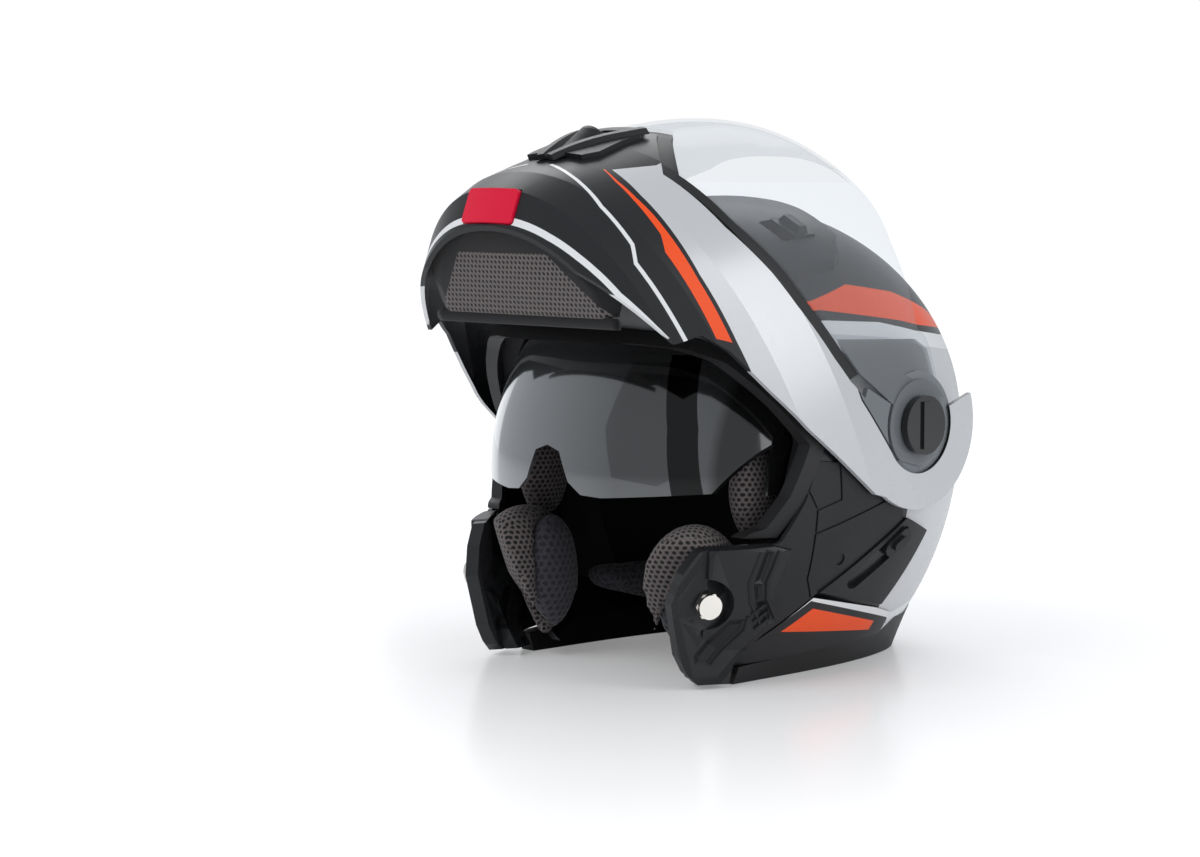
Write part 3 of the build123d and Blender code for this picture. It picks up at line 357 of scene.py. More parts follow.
chin_paint = Net("chin_paint")
run, height = chin_place(chin_paint)
cx, cy, cz = chin_paint.xyz()
edge = [along(p) for p in silver_edge]
front = [along(p) for p in silver_front]
above = [
    [edge[0], edge[1], front[0]],
    [edge[1], edge[2], (edge[2][0], PAINT_TOP), front[1], front[0]],
    [edge[2], edge[3], (edge[3][0], PAINT_TOP), (edge[2][0], PAINT_TOP)],
    [edge[3], edge[4], (edge[4][0], PAINT_TOP), (edge[3][0], PAINT_TOP)],
    [edge[4], edge[5], (500, 60), (500, PAINT_TOP), (edge[4][0], PAINT_TOP)],
]
silver_mask = region(run, height, above)
orange_mask = region(run, height, strip([along(p) for p in orange_top], [along(p) for p in orange_low]))
white_mask = region(run, height, band([along(p) for p in white_upper], 1.9)).most(
    region(run, height, band([along(p) for p in white_lower], 2.6))
)
outer_side = facing_out(chin_paint, (0.0, PIVOT.y - 0.02, PIVOT.z))
ear_area = convex(cy, cz, plate_ring)
beside = (cx.op("ABSOLUTE") - PLATE_INNER_X).edge(0.002)
plate_mask = ear_area.edge() * beside
gap_mask = (ear_area + 0.0011).edge() * beside
paint = chin_paint.mix(silver_mask, BLACK, SILVER)
paint = chin_paint.mix(orange_mask, paint, ORANGE)
paint = chin_paint.mix(white_mask, paint, WHITE)
paint = chin_paint.mix(gap_mask, paint, BLACK)
paint = chin_paint.mix(plate_mask, paint, SMOKE)
paint = chin_paint.mix(outer_side, BLACK, paint)
chin_paint.shade(
    colour=paint,
    rough=(silver_mask * -0.12) + wear(chin_paint, 0.40, 0.06, 20.0),
    metal=silver_mask * 0.25,
    specular=0.36,
)

# Paint lines of the shell in side view, in millimetres
shell_paint = Net("shell_paint")
_, sy, sz = shell_paint.xyz()
back = sy - SHIFT_Y
shell_orange_top = [(-60, 203), (-45, 204), (-15, 212), (22, 207), (60, 196), (95, 184)]
shell_orange_low = [(-60, 198), (-42.5, 199.5), (16, 192), (33, 189), (64, 186), (95, 183)]
shell_white_top = [(-60, 193.5), (-42, 194), (-5, 192), (28, 186), (64, 182), (92, 180)]
shell_grey_top = [(-60, 186), (-42, 187), (-5, 184), (28, 178), (64, 174), (92, 172)]
crown = [
    [(-200, 203), (-60, 203), (-60, 400), (-200, 400)],
    [(-60, 203), (-45, 204), (-45, 400), (-60, 400)],
    [(-45, 204), (-15, 212), (-15, 400), (-45, 400)],
    [(-15, 212), (22, 207), (22, 400), (-15, 400)],
    [(22, 207), (60, 196), (60, 400), (22, 400)],
    [(60, 196), (95, 184), (200, 150), (200, 400), (60, 400)],
]
crown_mask = region(back, sz, crown)
line_mask = region(back, sz, strip(shell_orange_low, shell_white_top))
orange_shell = region(back, sz, strip(shell_orange_top, shell_orange_low))
white_shell = region(back, sz, strip(shell_white_top, shell_grey_top))
low_white = region(back, sz, band([(-64, 46), (-56, 47), (20, 26), (60, 31)], 5.0))
coat = shell_paint.mix(crown_mask, SILVER, BLACK)
coat = shell_paint.mix(white_shell, coat, WHITE)
coat = shell_paint.mix(line_mask, coat, BLACK)
coat = shell_paint.mix(orange_shell, coat, ORANGE)
coat = shell_paint.mix(low_white, coat, WHITE)
hidden_front = region(back, sz, [[(-200, -20), (6, -20), (6, 96), (-8, 150), (-200, 150)]])
coat = shell_paint.mix(hidden_front, coat, BLACK)
coat = shell_paint.mix(facing_out(shell_paint, (0.0, PIVOT.y, PIVOT.z - 0.01)), BLACK, coat)
shell_paint.shade(colour=coat, rough=wear(shell_paint, 0.26, 0.06, 20.0), metal=0.15)

lower_paint = Net("lower_panel_paint")
_, py, pz = lower_paint.xyz()
low_back = py - SHIFT_Y
trapezoid = region(low_back, pz, [[(-68, 28.5), (-52, 40), (6, 26.5), (5.5, 21.5)]])
upper_band = region(low_back, pz, band([(-75, 33), (-56, 47), (20, 29), (24, 26)], 4.0))
lacquer = lower_paint.mix(upper_band, BLACK, WHITE)
lacquer = lower_paint.mix(trapezoid, lacquer, ORANGE)
outer_skin = facing_out(lower_paint, (0.0, PIVOT.y, 0.04)) * sideways(lower_paint)
lacquer = lower_paint.mix(outer_skin, BLACK, lacquer)
lower_paint.shade(colour=lacquer, rough=wear(lower_paint, 0.36, 0.06, 20.0), specular=0.36)


# Clear and smoked screens
def screen(name, colour, rough, see, haze):
    """A thin screen: a share of haze over a tint that light and shadows pass."""
    net = Net(name)
    net.shade(colour=colour, rough=wear(net, rough, 0.02, 15.0))
    clear = net.nodes.new("ShaderNodeBsdfTransparent")
    clear.inputs[0].default_value = (*see, 1.0)
    blend = net.nodes.new("ShaderNodeMixShader")
    path = net.nodes.new("ShaderNodeLightPath")
    net.links.new(net.bsdf.outputs[0], blend.inputs[1])
    net.links.new(clear.outputs[0], blend.inputs[2])
    passed = Value(net, path.outputs["Is Shadow Ray"]).most(1.0 - haze)
    net.links.new(passed.source, blend.inputs[0])
    net.links.new(blend.outputs[0], net.out.inputs["Surface"])
    return net


clear_screen = screen("clear_screen", (0.93, 0.95, 0.98), 0.06, (0.93, 0.94, 0.95), haze=0.06)
vx, vy, vz = clear_screen.xyz()
ring = convex(vy, vz, plate_ring).edge() * (vx.op("ABSOLUTE") - 0.09).edge(0.002)
smoked = clear_screen.nodes.new("ShaderNodeBsdfPrincipled")
smoked.inputs["Base Color"].default_value = (*SMOKE, 1.0)
smoked.inputs["Roughness"].default_value = 0.12
smoked.inputs["Alpha"].default_value = 0.72
final = clear_screen.nodes.new("ShaderNodeMixShader")
clear_screen.links.new(ring.source, final.inputs[0])
clear_screen.links.new(clear_screen.out.inputs["Surface"].links[0].from_socket, final.inputs[1])
clear_screen.links.new(smoked.outputs[0], final.inputs[2])
clear_screen.links.new(final.outputs[0], clear_screen.out.inputs["Surface"])

# Sun visor: its grey carries painted reflections. It is lighter at low x and darker at high x, with a painted
# dark reflection band and a rectangle painted darker
smoke_screen = Net("smoke_screen")
mx, _, mz = smoke_screen.xyz()
# Painted light: the visor is painted lighter at low x, fading darker as x grows
painted_light_fade = ((mx * -8.0) + 0.35).clamp()
tone_and_painted_reflection = painted_light_fade * 0.34 + (painted_light_fade - 0.75).clamp() * 1.2 + 0.15
# A rectangle that is painted darker
darker_rectangle_mask = region(
    mx,
    mz,
    [[(41, 172), (58, 172), (66, 138), (36, 138)], [(36, 138), (66, 138), (70, 112), (64, 108), (42, 112)]],
)
# Painted reflection: a nearly black band, standing in for a dark strip reflected in the visor
painted_dark_reflection_band = region(
    mx, mz, [[(57, 176), (66, 138), (78, 138), (69, 176)], [(66, 138), (71, 96), (83, 96), (78, 138)]]
)
# Painted reflection: darker again towards the high-x edge
painted_darker_reflection_edge = ((mx - 0.07) * 60.0).clamp() + ((mx - 0.083) * 250.0).clamp() * 3.6
tone_and_painted_reflection = tone_and_painted_reflection * ((darker_rectangle_mask * -0.38) + 1.0) * ((painted_dark_reflection_band * -0.97) + 1.0) * ((painted_darker_reflection_edge * -0.15) + 1.0)
# The visor's colour comes from the painted reflection tone, tinted a little blue
mirror = smoke_screen.nodes.new("ShaderNodeCombineColor")
for index in range(3):
    smoke_screen.links.new((tone_and_painted_reflection * (0.97, 1.0, 1.03)[index]).source, mirror.inputs[index])
smoke_screen.shade(
    colour=mirror.outputs[0], rough=wear(smoke_screen, 0.10, 0.03, 15.0), metal=0.85, coat=0.5
)


# Knitted fabrics
def chosen_plane(net):
    """Two places along the surface, from whichever of the three main planes it faces most."""
    x, y, z = net.xyz()
    split = net.nodes.new("ShaderNodeSeparateXYZ")
    net.links.new(net.coords.outputs["Normal"], split.inputs[0])
    nx, ny, nz = [Value(net, split.outputs[axis]).op("ABSOLUTE") for axis in range(3)]
    side = nx.op("GREATER_THAN", ny.most(nz))
    top = nz.op("GREATER_THAN", nx.most(ny))
    return x + side * (y - x), z + top * (y - z)


def honeycomb(net, pitch):
    """Distance from the nearest hole's middle, as a share of the pitch, in staggered rows."""
    u, v = chosen_plane(net)
    u = u / pitch
    v = v / (pitch * 1.732)
    best = None
    for shift in (0.0, 0.5):
        du = (u + shift).op("FLOORED_MODULO", 1.0) - 0.5
        dv = ((v + shift).op("FLOORED_MODULO", 1.0) - 0.5) * 1.732
        far = (du * du + dv * dv).op("SQRT")
        best = far if best is None else best.least(far)
    return best


def mesh_fabric(name, yarn, hole, pitch, size, depth):
    """Knitted spacer mesh: staggered round holes in a ground of fine yarn."""
    net = Net(name)
    gap = honeycomb(net, pitch)
    mask = ((gap - size) * 7.0 + 0.5).clamp()
    fibre = net.noise(1500.0, 2.0)
    ground = net.mix(fibre, tuple(c * 0.6 for c in yarn), tuple(c * 1.45 for c in yarn))
    net.shade(colour=net.mix(mask, hole, ground), rough=0.85, sheen=0.2, sheen_rough=0.5)
    net.bump(mask + fibre * 0.3, depth, 0.9)
    return net


SPACER_MESH = ((0.150, 0.125, 0.122), (0.006, 0.006, 0.006), 0.0031, 0.31, 0.0008)
mesh_knit = mesh_fabric("mesh_knit", *SPACER_MESH)
fine_knit = mesh_fabric("fine_knit", (0.058, 0.056, 0.070), (0.026, 0.025, 0.033), 0.0042, 0.28, 0.0009)
felt = plain("black_felt", (0.008, 0.008, 0.009), 0.95, grain=1.0, sheen=0.15)

# The curtain is knitted mesh inside a panel and plain cloth round it, with a raised seam between
CURTAIN_REAR = -117.0
curtain_knit = mesh_fabric("curtain_knit", *SPACER_MESH)
ex, ey, ez = curtain_knit.xyz()
shut_y = (ey - PIVOT.y) * COS_LIFT - (ez - PIVOT.z) * SIN_LIFT + (PIVOT.y - SHIFT_Y)
panel_shape = [(-10, -154.5), (34, -154.5), (66, CURTAIN_REAR), (-10, CURTAIN_REAR)]
panel = region(ex.op("ABSOLUTE"), shut_y, [panel_shape])
knit_colour = curtain_knit.bsdf.inputs["Base Color"].links[0].from_socket
curtain_knit.shade(colour=curtain_knit.mix(panel, (0.006, 0.006, 0.007), knit_colour))
knit_bump = curtain_knit.bsdf.inputs["Normal"].links[0].from_node
knit_height = Value(curtain_knit, knit_bump.inputs["Height"].links[0].from_socket)
seam = panel.op("COMPARE", 0.5, 0.45) * 0.8
curtain_knit.bump(knit_height * panel + curtain_knit.noise(1800.0, 1.0) * 0.3 + seam, 0.0008, 0.9)


# Relief of the lock covers, with painted shade in the pocket and the groove
COVER_PLACE = Vector((0.087, SHIFT_Y - 0.1133, 0.0467))
PLANE_X = Vector((0.342, 0.9397, 0.0))
PLANE_Y = Vector((0.1129, -0.0411, 0.9928))
PLANE_Z = PLANE_X.cross(PLANE_Y)
cover_paint = Net("cover_relief_painted_shade")
lx, ly, lz = cover_paint.xyz()
lx = lx.op("ABSOLUTE") - COVER_PLACE.x
ly = ly - COVER_PLACE.y
lz = lz - COVER_PLACE.z
cu = lx * PLANE_X.x + ly * PLANE_X.y
cv = lx * PLANE_Y.x + ly * PLANE_Y.y + lz * PLANE_Y.z


def roof(shapes, run, slope):
    """Height in millimetres of forms whose sides rise at a slope over a run from their outlines."""
    inside = None
    for corners in shapes:
        gap = convex(cu, cv, corners)
        inside = gap if inside is None else inside.most(gap)
    return inside.most(0.0).least(run * MM) * (slope / MM)


rim = roof([[(3, 34), (-19, 6), (-19.5, -4), (-7, -44), (12, -45), (40, -14), (44, 33)]], 4.2, 0.55)
facet = roof([[(3, 30), (-15, 1), (-15, -7), (0, -6), (12, 6)]], 9.0, 0.34)
pocket = roof(
    [[(-4.7, -28.5), (12.3, -8.4), (21.4, -7.9), (21, -13.8), (4.3, -34.3), (-3.2, -33)]], 2.6, 0.9
)
groove = roof(band([(31.5, 30), (26, 12), (28, 2), (37, -12)], 5.2), 2.2, 0.8)
low_edge = roof([[(-13, -9), (-2, -24), (3, -14), (-6, -8)]], 3.0, 0.4)
form = rim + facet - pocket - groove + low_edge
# Painted shade: the pocket and the groove are coloured darker, standing in for the shade in these hollows
painted_hollow_shade = ((pocket + groove) * -0.35 + 1.0).clamp()
cover_paint.shade(
    colour=cover_paint.mix(painted_hollow_shade, tuple(c * 0.2 for c in BLACK), BLACK),
    rough=wear(cover_paint, 0.38, 0.05, 30.0),
    specular=0.4,
)
cover_paint.bump(form + cover_paint.noise(2600.0, 1.0) * 0.02, 0.001, 1.0)

material_of = {
    "outer_shell": shell_paint,
    "impact_liner": foam,
    "crown_pad": foam,
    "eyeport_trim": trim_skin,
    "base_trim": trim_skin,
    "crown_cover": satin,
    "side_panel": satin,
    "lower_panel": lower_paint,
    "panel_screw": satin,
    "lock_cover": cover_paint,
    "lock_stud": steel,
    "slider_plate": satin,
    "sun_visor_boss": satin,
    "pivot_hub": smoke_plastic,
    "sun_visor": smoke_screen,
    "sun_visor_slider": satin,
    "top_vent_slider": satin,
    "chin_bar_shell": chin_paint,
    "chin_bar_liner": foam,
    "curtain_band": felt,
    "chin_vent_cover": satin,
    "visor_gasket": trim_skin,
    "ear_plate": smoke_plastic,
    "release_button": red,
    "latch": steel,
    "chin_vent_slider": satin,
    "visor": clear_screen,
    "pivot_knob": glossy_black,
}
for name, node in nodes.items():
    base = name.removesuffix("_left").removesuffix("_right")
    net = material_of.get(name) or material_of.get(base)
    if net:
        node.data.materials.clear()
        node.data.materials.append(net.material)


# Pads
def finished_mesh(item):
    """Applies an object's modifiers and gives its mesh."""
    evaluated = item.evaluated_get(bpy.context.evaluated_depsgraph_get())
    mesh = bpy.data.meshes.new_from_object(evaluated)
    item.modifiers.clear()
    item.data = mesh
    return mesh


FOOT_TOP = 0.036
FOOT_RAMP = 0.02
FOOT_REACH = 0.009
TEMPLE_INWARD = 0.004
TEMPLE_FORWARD = 0.009
TEMPLE_STRETCH = 1.12
ROLL_STRETCH = 1.62
ROLL_END_THINNING = 1.05
ROLL_END_LENGTH = 0.05
ROLL_END_RISE = 0.024
ROLL_END_FORWARD = 0.044


def fuller(mesh, sign):
    """Brings a cheek pad's lowest part forwards, level with the rim that carries it."""
    for vertex in mesh.vertices:
        down = min(1.0, max(0.0, (FOOT_TOP - vertex.co.z) / FOOT_RAMP))
        vertex.co.y -= FOOT_REACH * down


def forward(mesh, sign):
    """Brings a temple pad out past the liner's edge, towards the face."""
    middle = sum(vertex.co.z for vertex in mesh.vertices) / len(mesh.vertices)
    for vertex in mesh.vertices:
        vertex.co.x -= TEMPLE_INWARD * sign
        vertex.co.y -= TEMPLE_FORWARD
        vertex.co.z = middle + TEMPLE_STRETCH * (vertex.co.z - middle)


def lifted(mesh, sign):
    """Raises the neck roll's top and draws its ends forward and up as slender ridges."""
    low = min(vertex.co.z for vertex in mesh.vertices)
    front = min(vertex.co.y for vertex in mesh.vertices)
    for vertex in mesh.vertices:
        share = max(0.0, 1.0 - (vertex.co.y - front) / ROLL_END_LENGTH)
        tall = (ROLL_STRETCH - ROLL_END_THINNING * share) * (vertex.co.z - low)
        vertex.co.z = low + tall + ROLL_END_RISE * share
        vertex.co.y -= ROLL_END_FORWARD * share


def soft_copy(name, node_name, net, voxel=0.004, sink=0.0008, cap=0.0022, reshape=None):
    """A pad grown from its solid: remeshed, puffed by pressure with its moves capped, and smoothed."""
    pad = bpy.data.objects.new(name, nodes[node_name].data.copy())
    bpy.context.scene.collection.objects.link(pad)
    remesh = pad.modifiers.new("remesh", "REMESH")
    remesh.mode = "VOXEL"
    remesh.voxel_size = voxel
    smooth = pad.modifiers.new("smooth", "SMOOTH")
    smooth.iterations = 3
    smooth.factor = 0.5
    shrink = pad.modifiers.new("shrink", "DISPLACE")
    shrink.mid_level = 0.0
    shrink.strength = -sink
    mesh = finished_mesh(pad)
    before = [vertex.co.copy() for vertex in mesh.vertices]
    cloth = pad.modifiers.new("cloth", "CLOTH")
    cloth.settings.quality = 5
    cloth.settings.mass = 0.2
    cloth.settings.use_pressure = True
    cloth.settings.uniform_pressure_force = 4.0
    cloth.settings.effector_weights.gravity = 0.0
    for frame_number in range(1, 21):
        bpy.context.scene.frame_set(frame_number)
    mesh = finished_mesh(pad)
    bpy.context.scene.frame_set(1)
    for vertex, start in zip(mesh.vertices, before):
        move = vertex.co - start
        if move.length > cap:
            vertex.co = start + move.normalized() * cap
    subdivide = pad.modifiers.new("subdivide", "SUBSURF")
    subdivide.levels = subdivide.render_levels = 1
    mesh = finished_mesh(pad)
    mesh.materials.clear()
    mesh.materials.append(net.material)
    for polygon in mesh.polygons:
        polygon.use_smooth = True
    if reshape:
        reshape(mesh, -1.0 if name.endswith("right") else 1.0)
    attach(pad, "helmet")
    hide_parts(node_name)


for side in ("left", "right"):
    soft_copy(
        "cheek_cushion_" + side,
        "cheek_pad_" + side,
        mesh_knit,
        voxel=0.0026,
        sink=-0.0006,
        reshape=fuller,
    )
    soft_copy("cheek_flap_" + side, "cheek_lining_" + side, fine_knit, cap=0.0012)
    soft_copy(
        "temple_cushion_" + side, "temple_pad_" + side, mesh_knit, cap=0.0010, reshape=forward
    )
soft_copy("neck_cushion", "neck_roll", fine_knit, cap=0.0010, reshape=lifted)
soft_copy("crown_cushion", "crown_pad", felt, sink=0.0, cap=0.0005)


def widest_hull(points):
    """The convex outline round points in a plane, counterclockwise."""
    ordered = sorted(set((round(x, 2), round(y, 2)) for x, y in points))
    halves = []
    for source in (ordered, ordered[::-1]):
        chain = []
        for point in source:
            while len(chain) > 1 and (
                (chain[-1][0] - chain[-2][0]) * (point[1] - chain[-2][1])
                - (chain[-1][1] - chain[-2][1]) * (point[0] - chain[-2][0])
            ) <= 0:
                chain.pop()
            chain.append(point)
        halves += chain[:-1]
    return halves


def link_mesh(name, builder, net, body, smooth=True):
    """A piece from built faces, riding a body."""
    mesh = bpy.data.meshes.new(name)
    builder.to_mesh(mesh)
    builder.free()
    item = bpy.data.objects.new(name, mesh)
    bpy.context.scene.collection.objects.link(item)
    mesh.materials.append(net.material)
    for polygon in mesh.polygons:
        polygon.use_smooth = smooth
    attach(item, body)
    return item


# Knitted curtain under the chin, with its straight hem towards the throat
RIM_WIDTH = 15.0
RIM_SLOPE = 0.62
SAG = 1.8
shut = [closed_place(vertex.co) for vertex in nodes["chin_curtain"].data.vertices]
low = min(point.z for point in shut)
outline = widest_hull([(point.x, point.y) for point in shut])
rear_half = 62.0


def inside_outline(x, y):
    """How far a place lies inside the curtain's outline, in millimetres."""
    gaps = []
    for i in range(len(outline)):
        (x0, y0), (x1, y1) = outline[i - 1], outline[i]
        length = math.hypot(x1 - x0, y1 - y0)
        if length > 0.01:
            gaps.append(((x1 - x0) * (y - y0) - (y1 - y0) * (x - x0)) / length)
    return min(gaps)


builder = bmesh.new()
rows, columns = 40, 64
front_y = min(y for x, y in outline)
grid = []
for row in range(rows + 1):
    line = []
    y = front_y + 0.6 + (CURTAIN_REAR - front_y - 0.6) * row / rows
    reach = 0.0
    while reach < 90.0 and inside_outline(reach + 1.0, y) > 0.8:
        reach += 0.5
    reach = min(reach, rear_half + 8.0)
    for column in range(columns + 1):
        share = 2.0 * column / columns - 1.0
        sag = SAG * (1.0 - share * share) * math.sin(math.pi * row / rows)
        rim = max(0.0, RIM_WIDTH - inside_outline(abs(share) * reach, min(y, CURTAIN_REAR - RIM_WIDTH)))
        line.append(builder.verts.new(closed_to_row(share * reach, y, low + 2.8 - sag + rim * RIM_SLOPE)))
    grid.append(line)
for row in range(rows):
    for column in range(columns):
        upper, under = grid[row], grid[row + 1]
        builder.faces.new((upper[column], upper[column + 1], under[column + 1], under[column]))
bmesh.ops.recalc_face_normals(builder, faces=builder.faces)
curtain = link_mesh("curtain_mesh", builder, curtain_knit, "chin_bar")
thick = curtain.modifiers.new("thick", "SOLIDIFY")
thick.thickness = 0.0018
thick.offset = 0.0
finished_mesh(curtain)
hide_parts("chin_curtain")

# Rolled hem along the curtain's rear edge
STEPS = 40
TURNS = 12
builder = bmesh.new()
rings = []
for step in range(STEPS + 1):
    x = (2.0 * step / STEPS - 1.0) * (rear_half + 7.0)
    ring = []
    for turn in range(TURNS):
        angle = math.tau * turn / TURNS
        y = CURTAIN_REAR + 2.6 + 3.4 * math.cos(angle)
        ring.append(builder.verts.new(closed_to_row(x, y, low + 2.6 + 1.9 * math.sin(angle))))
    rings.append(ring)
for ring, after in zip(rings, rings[1:]):
    for turn in range(TURNS):
        builder.faces.new((ring[turn], ring[turn - 1], after[turn - 1], after[turn]))
builder.faces.new(rings[0])
builder.faces.new(rings[-1][::-1])
bmesh.ops.recalc_face_normals(builder, faces=builder.faces)
hem = link_mesh("curtain_hem", builder, felt, "chin_bar")
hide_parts("curtain_band")

def skin_of(*names):
    """A search tree over the outer skins of some nodes."""
    points, faces = [], []
    for name in names:
        data = nodes[name].data
        faces += [[index + len(points) for index in polygon.vertices] for polygon in data.polygons]
        points += [vertex.co.copy() for vertex in data.vertices]
    return BVHTree.FromPolygons(points, faces)


def on_cover(side, sign):
    """Lays a place of a lock cover's plane, in millimetres, on the cover's skin and raises it."""
    tree = skin_of("lock_cover_" + side)

    def lay(u, v, rise):
        place = COVER_PLACE + (PLANE_X * u + PLANE_Y * v) * MM
        normal = PLANE_Z.copy()
        place.x, normal.x = place.x * sign, normal.x * sign
        hit = tree.ray_cast(place + normal * 0.04, -normal)[0]
        return (place if hit is None else hit) + normal * rise * MM

    return lay


def on_chin_front():
    """Lays a place of the closed chin bar's front, in millimetres, on a smooth skin over its slots."""
    tree = skin_of("chin_vent_cover", "chin_bar_shell")
    rows, depths = [], []
    for x in range(-27, 28, 3):
        for z in range(50, 119, 4):
            start, end = closed_to_row(x, -220.0, z), closed_to_row(x, -120.0, z)
            hit = tree.ray_cast(start, (end - start).normalized())[0]
            if hit:
                rows.append((1.0, x * x, z, z * z))
                depths.append(closed_place(hit).y)
    rows, depths = numpy.array(rows), numpy.array(depths)
    keep = numpy.ones(len(depths), bool)
    for _ in range(4):
        fit = numpy.linalg.lstsq(rows[keep], depths[keep], rcond=None)[0]
        keep = depths < rows @ fit + 0.8

    def lay(x, z, rise):
        depth = fit[0] + fit[1] * x * x + fit[2] * z + fit[3] * z * z
        return closed_to_row(x, depth - rise, z)

    return lay


def bar(builder, lay, points, width, rise):
    """A chamfered bar along points, laid on a skin."""
    fine = []
    for (u0, v0), (u1, v1) in zip(points, points[1:]):
        count = max(2, int(math.hypot(u1 - u0, v1 - v0) / 1.5))
        fine += [(u0 + (u1 - u0) * n / count, v0 + (v1 - v0) * n / count) for n in range(count)]
    fine.append(points[-1])
    rings = []
    for i, (u, v) in enumerate(fine):
        (u0, v0), (u1, v1) = fine[max(0, i - 1)], fine[min(len(fine) - 1, i + 1)]
        length = math.hypot(u1 - u0, v1 - v0)
        nu, nv = -(v1 - v0) / length, (u1 - u0) / length
        ring = []
        for side, lift in ((-0.5, -0.6), (-0.5, 0.0), (-0.28, 1.0), (0.28, 1.0), (0.5, 0.0), (0.5, -0.6)):
            height = rise * lift if lift > 0 else lift
            ring.append(builder.verts.new(lay(u + nu * side * width, v + nv * side * width, height)))
        rings.append(ring)
    for ring, after in zip(rings, rings[1:]):
        for k in range(6):
            builder.faces.new((ring[k - 1], ring[k], after[k], after[k - 1]))
    builder.faces.new(rings[0])
    builder.faces.new(rings[-1][::-1])


# Ribs of the lock covers: points in a cover's plane, width and rise, in millimetres
bars = [
    ([(37.0, 29.5), (31.2, 12.5), (32.4, 3.4), (40.0, -9.0)], 3.4, 1.5),
    ([(26.4, 28.6), (21.0, 12.5), (22.8, 2.0), (31.0, -12.0)], 2.4, 0.9),
    ([(24.5, -5.6), (31.0, -0.2)], 2.2, 1.2),
    ([(26.2, -10.0), (33.0, -4.4)], 2.2, 1.2),
    ([(28.0, -14.4), (34.8, -8.6)], 2.2, 1.2),
    ([(6.0, -33.6), (22.4, -14.6), (22.8, -6.8)], 2.2, 1.0),
]
for side, sign in (("left", 1), ("right", -1)):
    builder = bmesh.new()
    for points, width, rise in bars:
        bar(builder, on_cover(side, sign), points, width, rise)
    bmesh.ops.recalc_face_normals(builder, faces=builder.faces)
    link_mesh("cover_ribs_" + side, builder, satin, "helmet", smooth=False)

# Chin vent: two rails that meet at its foot and a hood between them
chin_front = on_chin_front()
rail = [(3.4, 58), (8, 73), (13, 87), (18.5, 101), (21.5, 113)]
builder = bmesh.new()
for sign in (1, -1):
    bar(builder, chin_front, [(sign * x, z) for x, z in rail], 7.5, 2.6)
bmesh.ops.recalc_face_normals(builder, faces=builder.faces)
link_mesh("vent_rails", builder, satin, "chin_bar", smooth=False)
ROWS = 12
COLUMNS = 20
builder = bmesh.new()
hood = []
for row in range(ROWS + 1):
    share = row / ROWS
    line = []
    for column in range(COLUMNS + 1):
        across = column / 10 - 1.0
        rise = 6.5 * share ** 1.5 * math.sqrt(max(0.0, 1.0 - across * across)) - 0.4
        line.append(builder.verts.new(chin_front((5.0 + 4.5 * share) * across, 70.0 + 24.0 * share, rise)))
    hood.append(line)
for upper, under in zip(hood, hood[1:]):
    for column in range(COLUMNS):
        builder.faces.new((upper[column], upper[column + 1], under[column + 1], under[column]))
back = [builder.verts.new(chin_front(9.5 * (column / 10 - 1.0), 95.0, -0.4)) for column in range(COLUMNS + 1)]
for column in range(COLUMNS):
    builder.faces.new((hood[-1][column], hood[-1][column + 1], back[column + 1], back[column]))
bmesh.ops.remove_doubles(builder, verts=builder.verts, dist=0.00001)
bmesh.ops.recalc_face_normals(builder, faces=builder.faces)
link_mesh("vent_hood", builder, satin, "chin_bar")

# Floor, world and lamps
floor_mesh = bpy.data.meshes.new("floor")
builder = bmesh.new()
bmesh.ops.create_grid(builder, x_segments=1, y_segments=1, size=30.0)
builder.to_mesh(floor_mesh)
builder.free()
floor = bpy.data.objects.new("floor", floor_mesh)
floor.location.z = -0.0002
bpy.context.scene.collection.objects.link(floor)
floor_net = Net("floor")
floor_net.shade(colour=(0.96, 0.96, 0.965), rough=0.22, specular=0.35)
floor_path = floor_net.nodes.new("ShaderNodeLightPath")
floor_glow = floor_net.nodes.new("ShaderNodeEmission")
floor_sum = floor_net.nodes.new("ShaderNodeAddShader")
floor_glow.inputs["Color"].default_value = (1.0, 1.0, 1.0, 1.0)
fx, fy, _ = floor_net.xyz()
away = ((fx * fx + fy * fy).op("SQRT") - 0.15) * 1.8
lift = Value(floor_net, floor_path.outputs["Is Camera Ray"]) * (away.clamp() * 0.3 + 0.22)
floor_net.links.new(lift.source, floor_glow.inputs["Strength"])
floor_net.links.new(floor_net.bsdf.outputs[0], floor_sum.inputs[0])
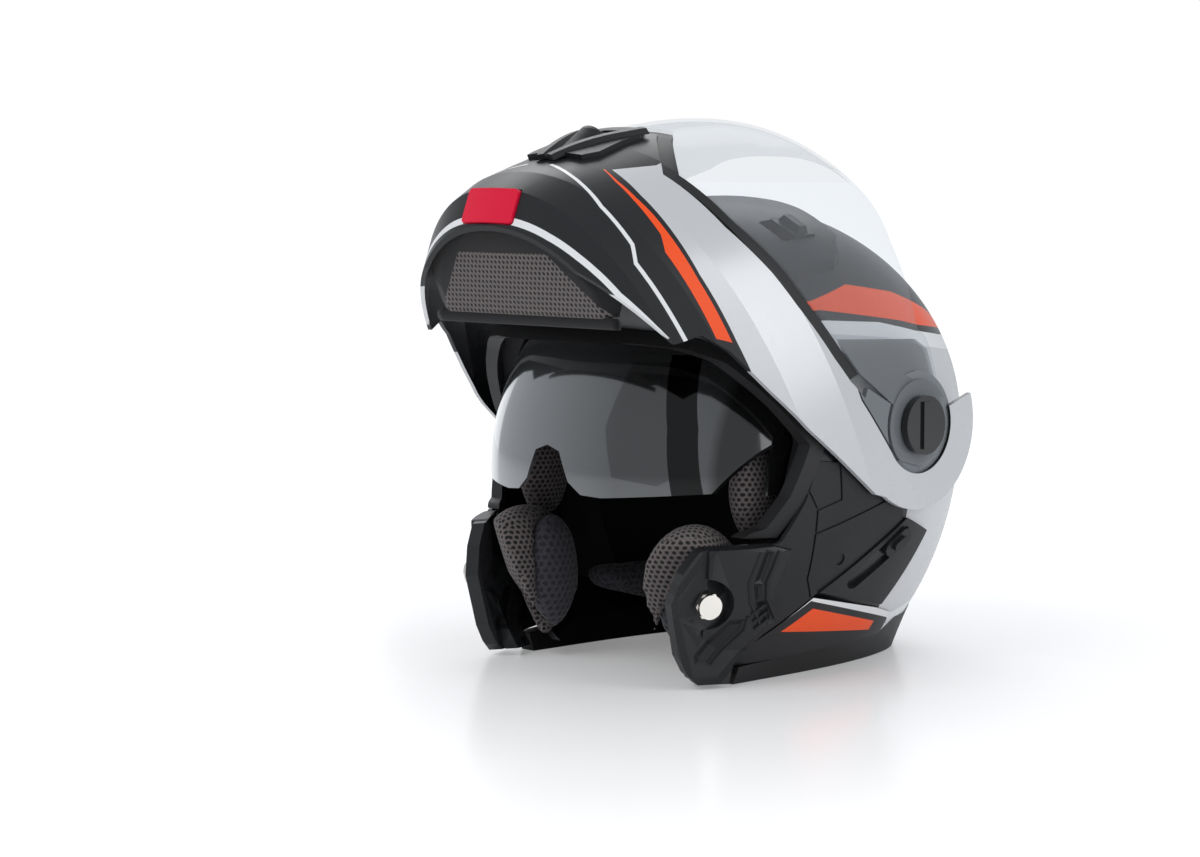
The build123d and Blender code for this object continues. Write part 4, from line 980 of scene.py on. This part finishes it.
floor_net.links.new(floor_glow.outputs[0], floor_sum.inputs[1])
floor_net.links.new(floor_sum.outputs[0], floor_net.out.inputs["Surface"])
floor_mesh.materials.append(floor_net.material)

world = bpy.data.worlds.new("studio")
bpy.context.scene.world = world
world.use_nodes = True
world_nodes = world.node_tree.nodes
world_links = world.node_tree.links
world_nodes.clear()
world_out = world_nodes.new("ShaderNodeOutputWorld")
room = world_nodes.new("ShaderNodeBackground")
room.inputs["Color"].default_value = (0.93, 0.96, 1.0, 1.0)
room.inputs["Strength"].default_value = 0.55
backdrop = world_nodes.new("ShaderNodeBackground")
backdrop.inputs["Color"].default_value = (1.0, 1.0, 1.0, 1.0)
backdrop.inputs["Strength"].default_value = 1.0
seen = world_nodes.new("ShaderNodeLightPath")
either = world_nodes.new("ShaderNodeMath")
either.operation = "MAXIMUM"
world_links.new(seen.outputs["Is Camera Ray"], either.inputs[0])
world_links.new(seen.outputs["Is Transmission Ray"], either.inputs[1])
choose = world_nodes.new("ShaderNodeMixShader")
world_links.new(either.outputs[0], choose.inputs[0])
world_links.new(room.outputs[0], choose.inputs[1])
world_links.new(backdrop.outputs[0], choose.inputs[2])
world_links.new(choose.outputs[0], world_out.inputs["Surface"])


def lamp(name, place, target, size, power, mirrored=True):
    """A soft box light aimed at a point."""
    data = bpy.data.lights.new(name, "AREA")
    data.shape = "RECTANGLE"
    data.size, data.size_y = size
    data.energy = power
    item = bpy.data.objects.new(name, data)
    item.location = place
    item.visible_glossy = mirrored
    item.rotation_euler = (Vector(target) - Vector(place)).to_track_quat("-Z", "Y").to_euler()
    bpy.context.scene.collection.objects.link(item)


lamp("key", (-0.2, -1.6, 1.7), (0, 0, 0.15), (1.6, 0.9), 14.0, mirrored=False)
lamp("side", (1.9, 0.4, 0.9), (0, 0, 0.15), (0.9, 1.6), 10.0)
lamp("left", (-2.2, 0.9, 0.7), (0, 0, 0.15), (1.2, 1.6), 3.5)
lamp("back", (-1.2, 1.2, 1.6), (0, 0, 0.2), (1.4, 0.8), 12.0)
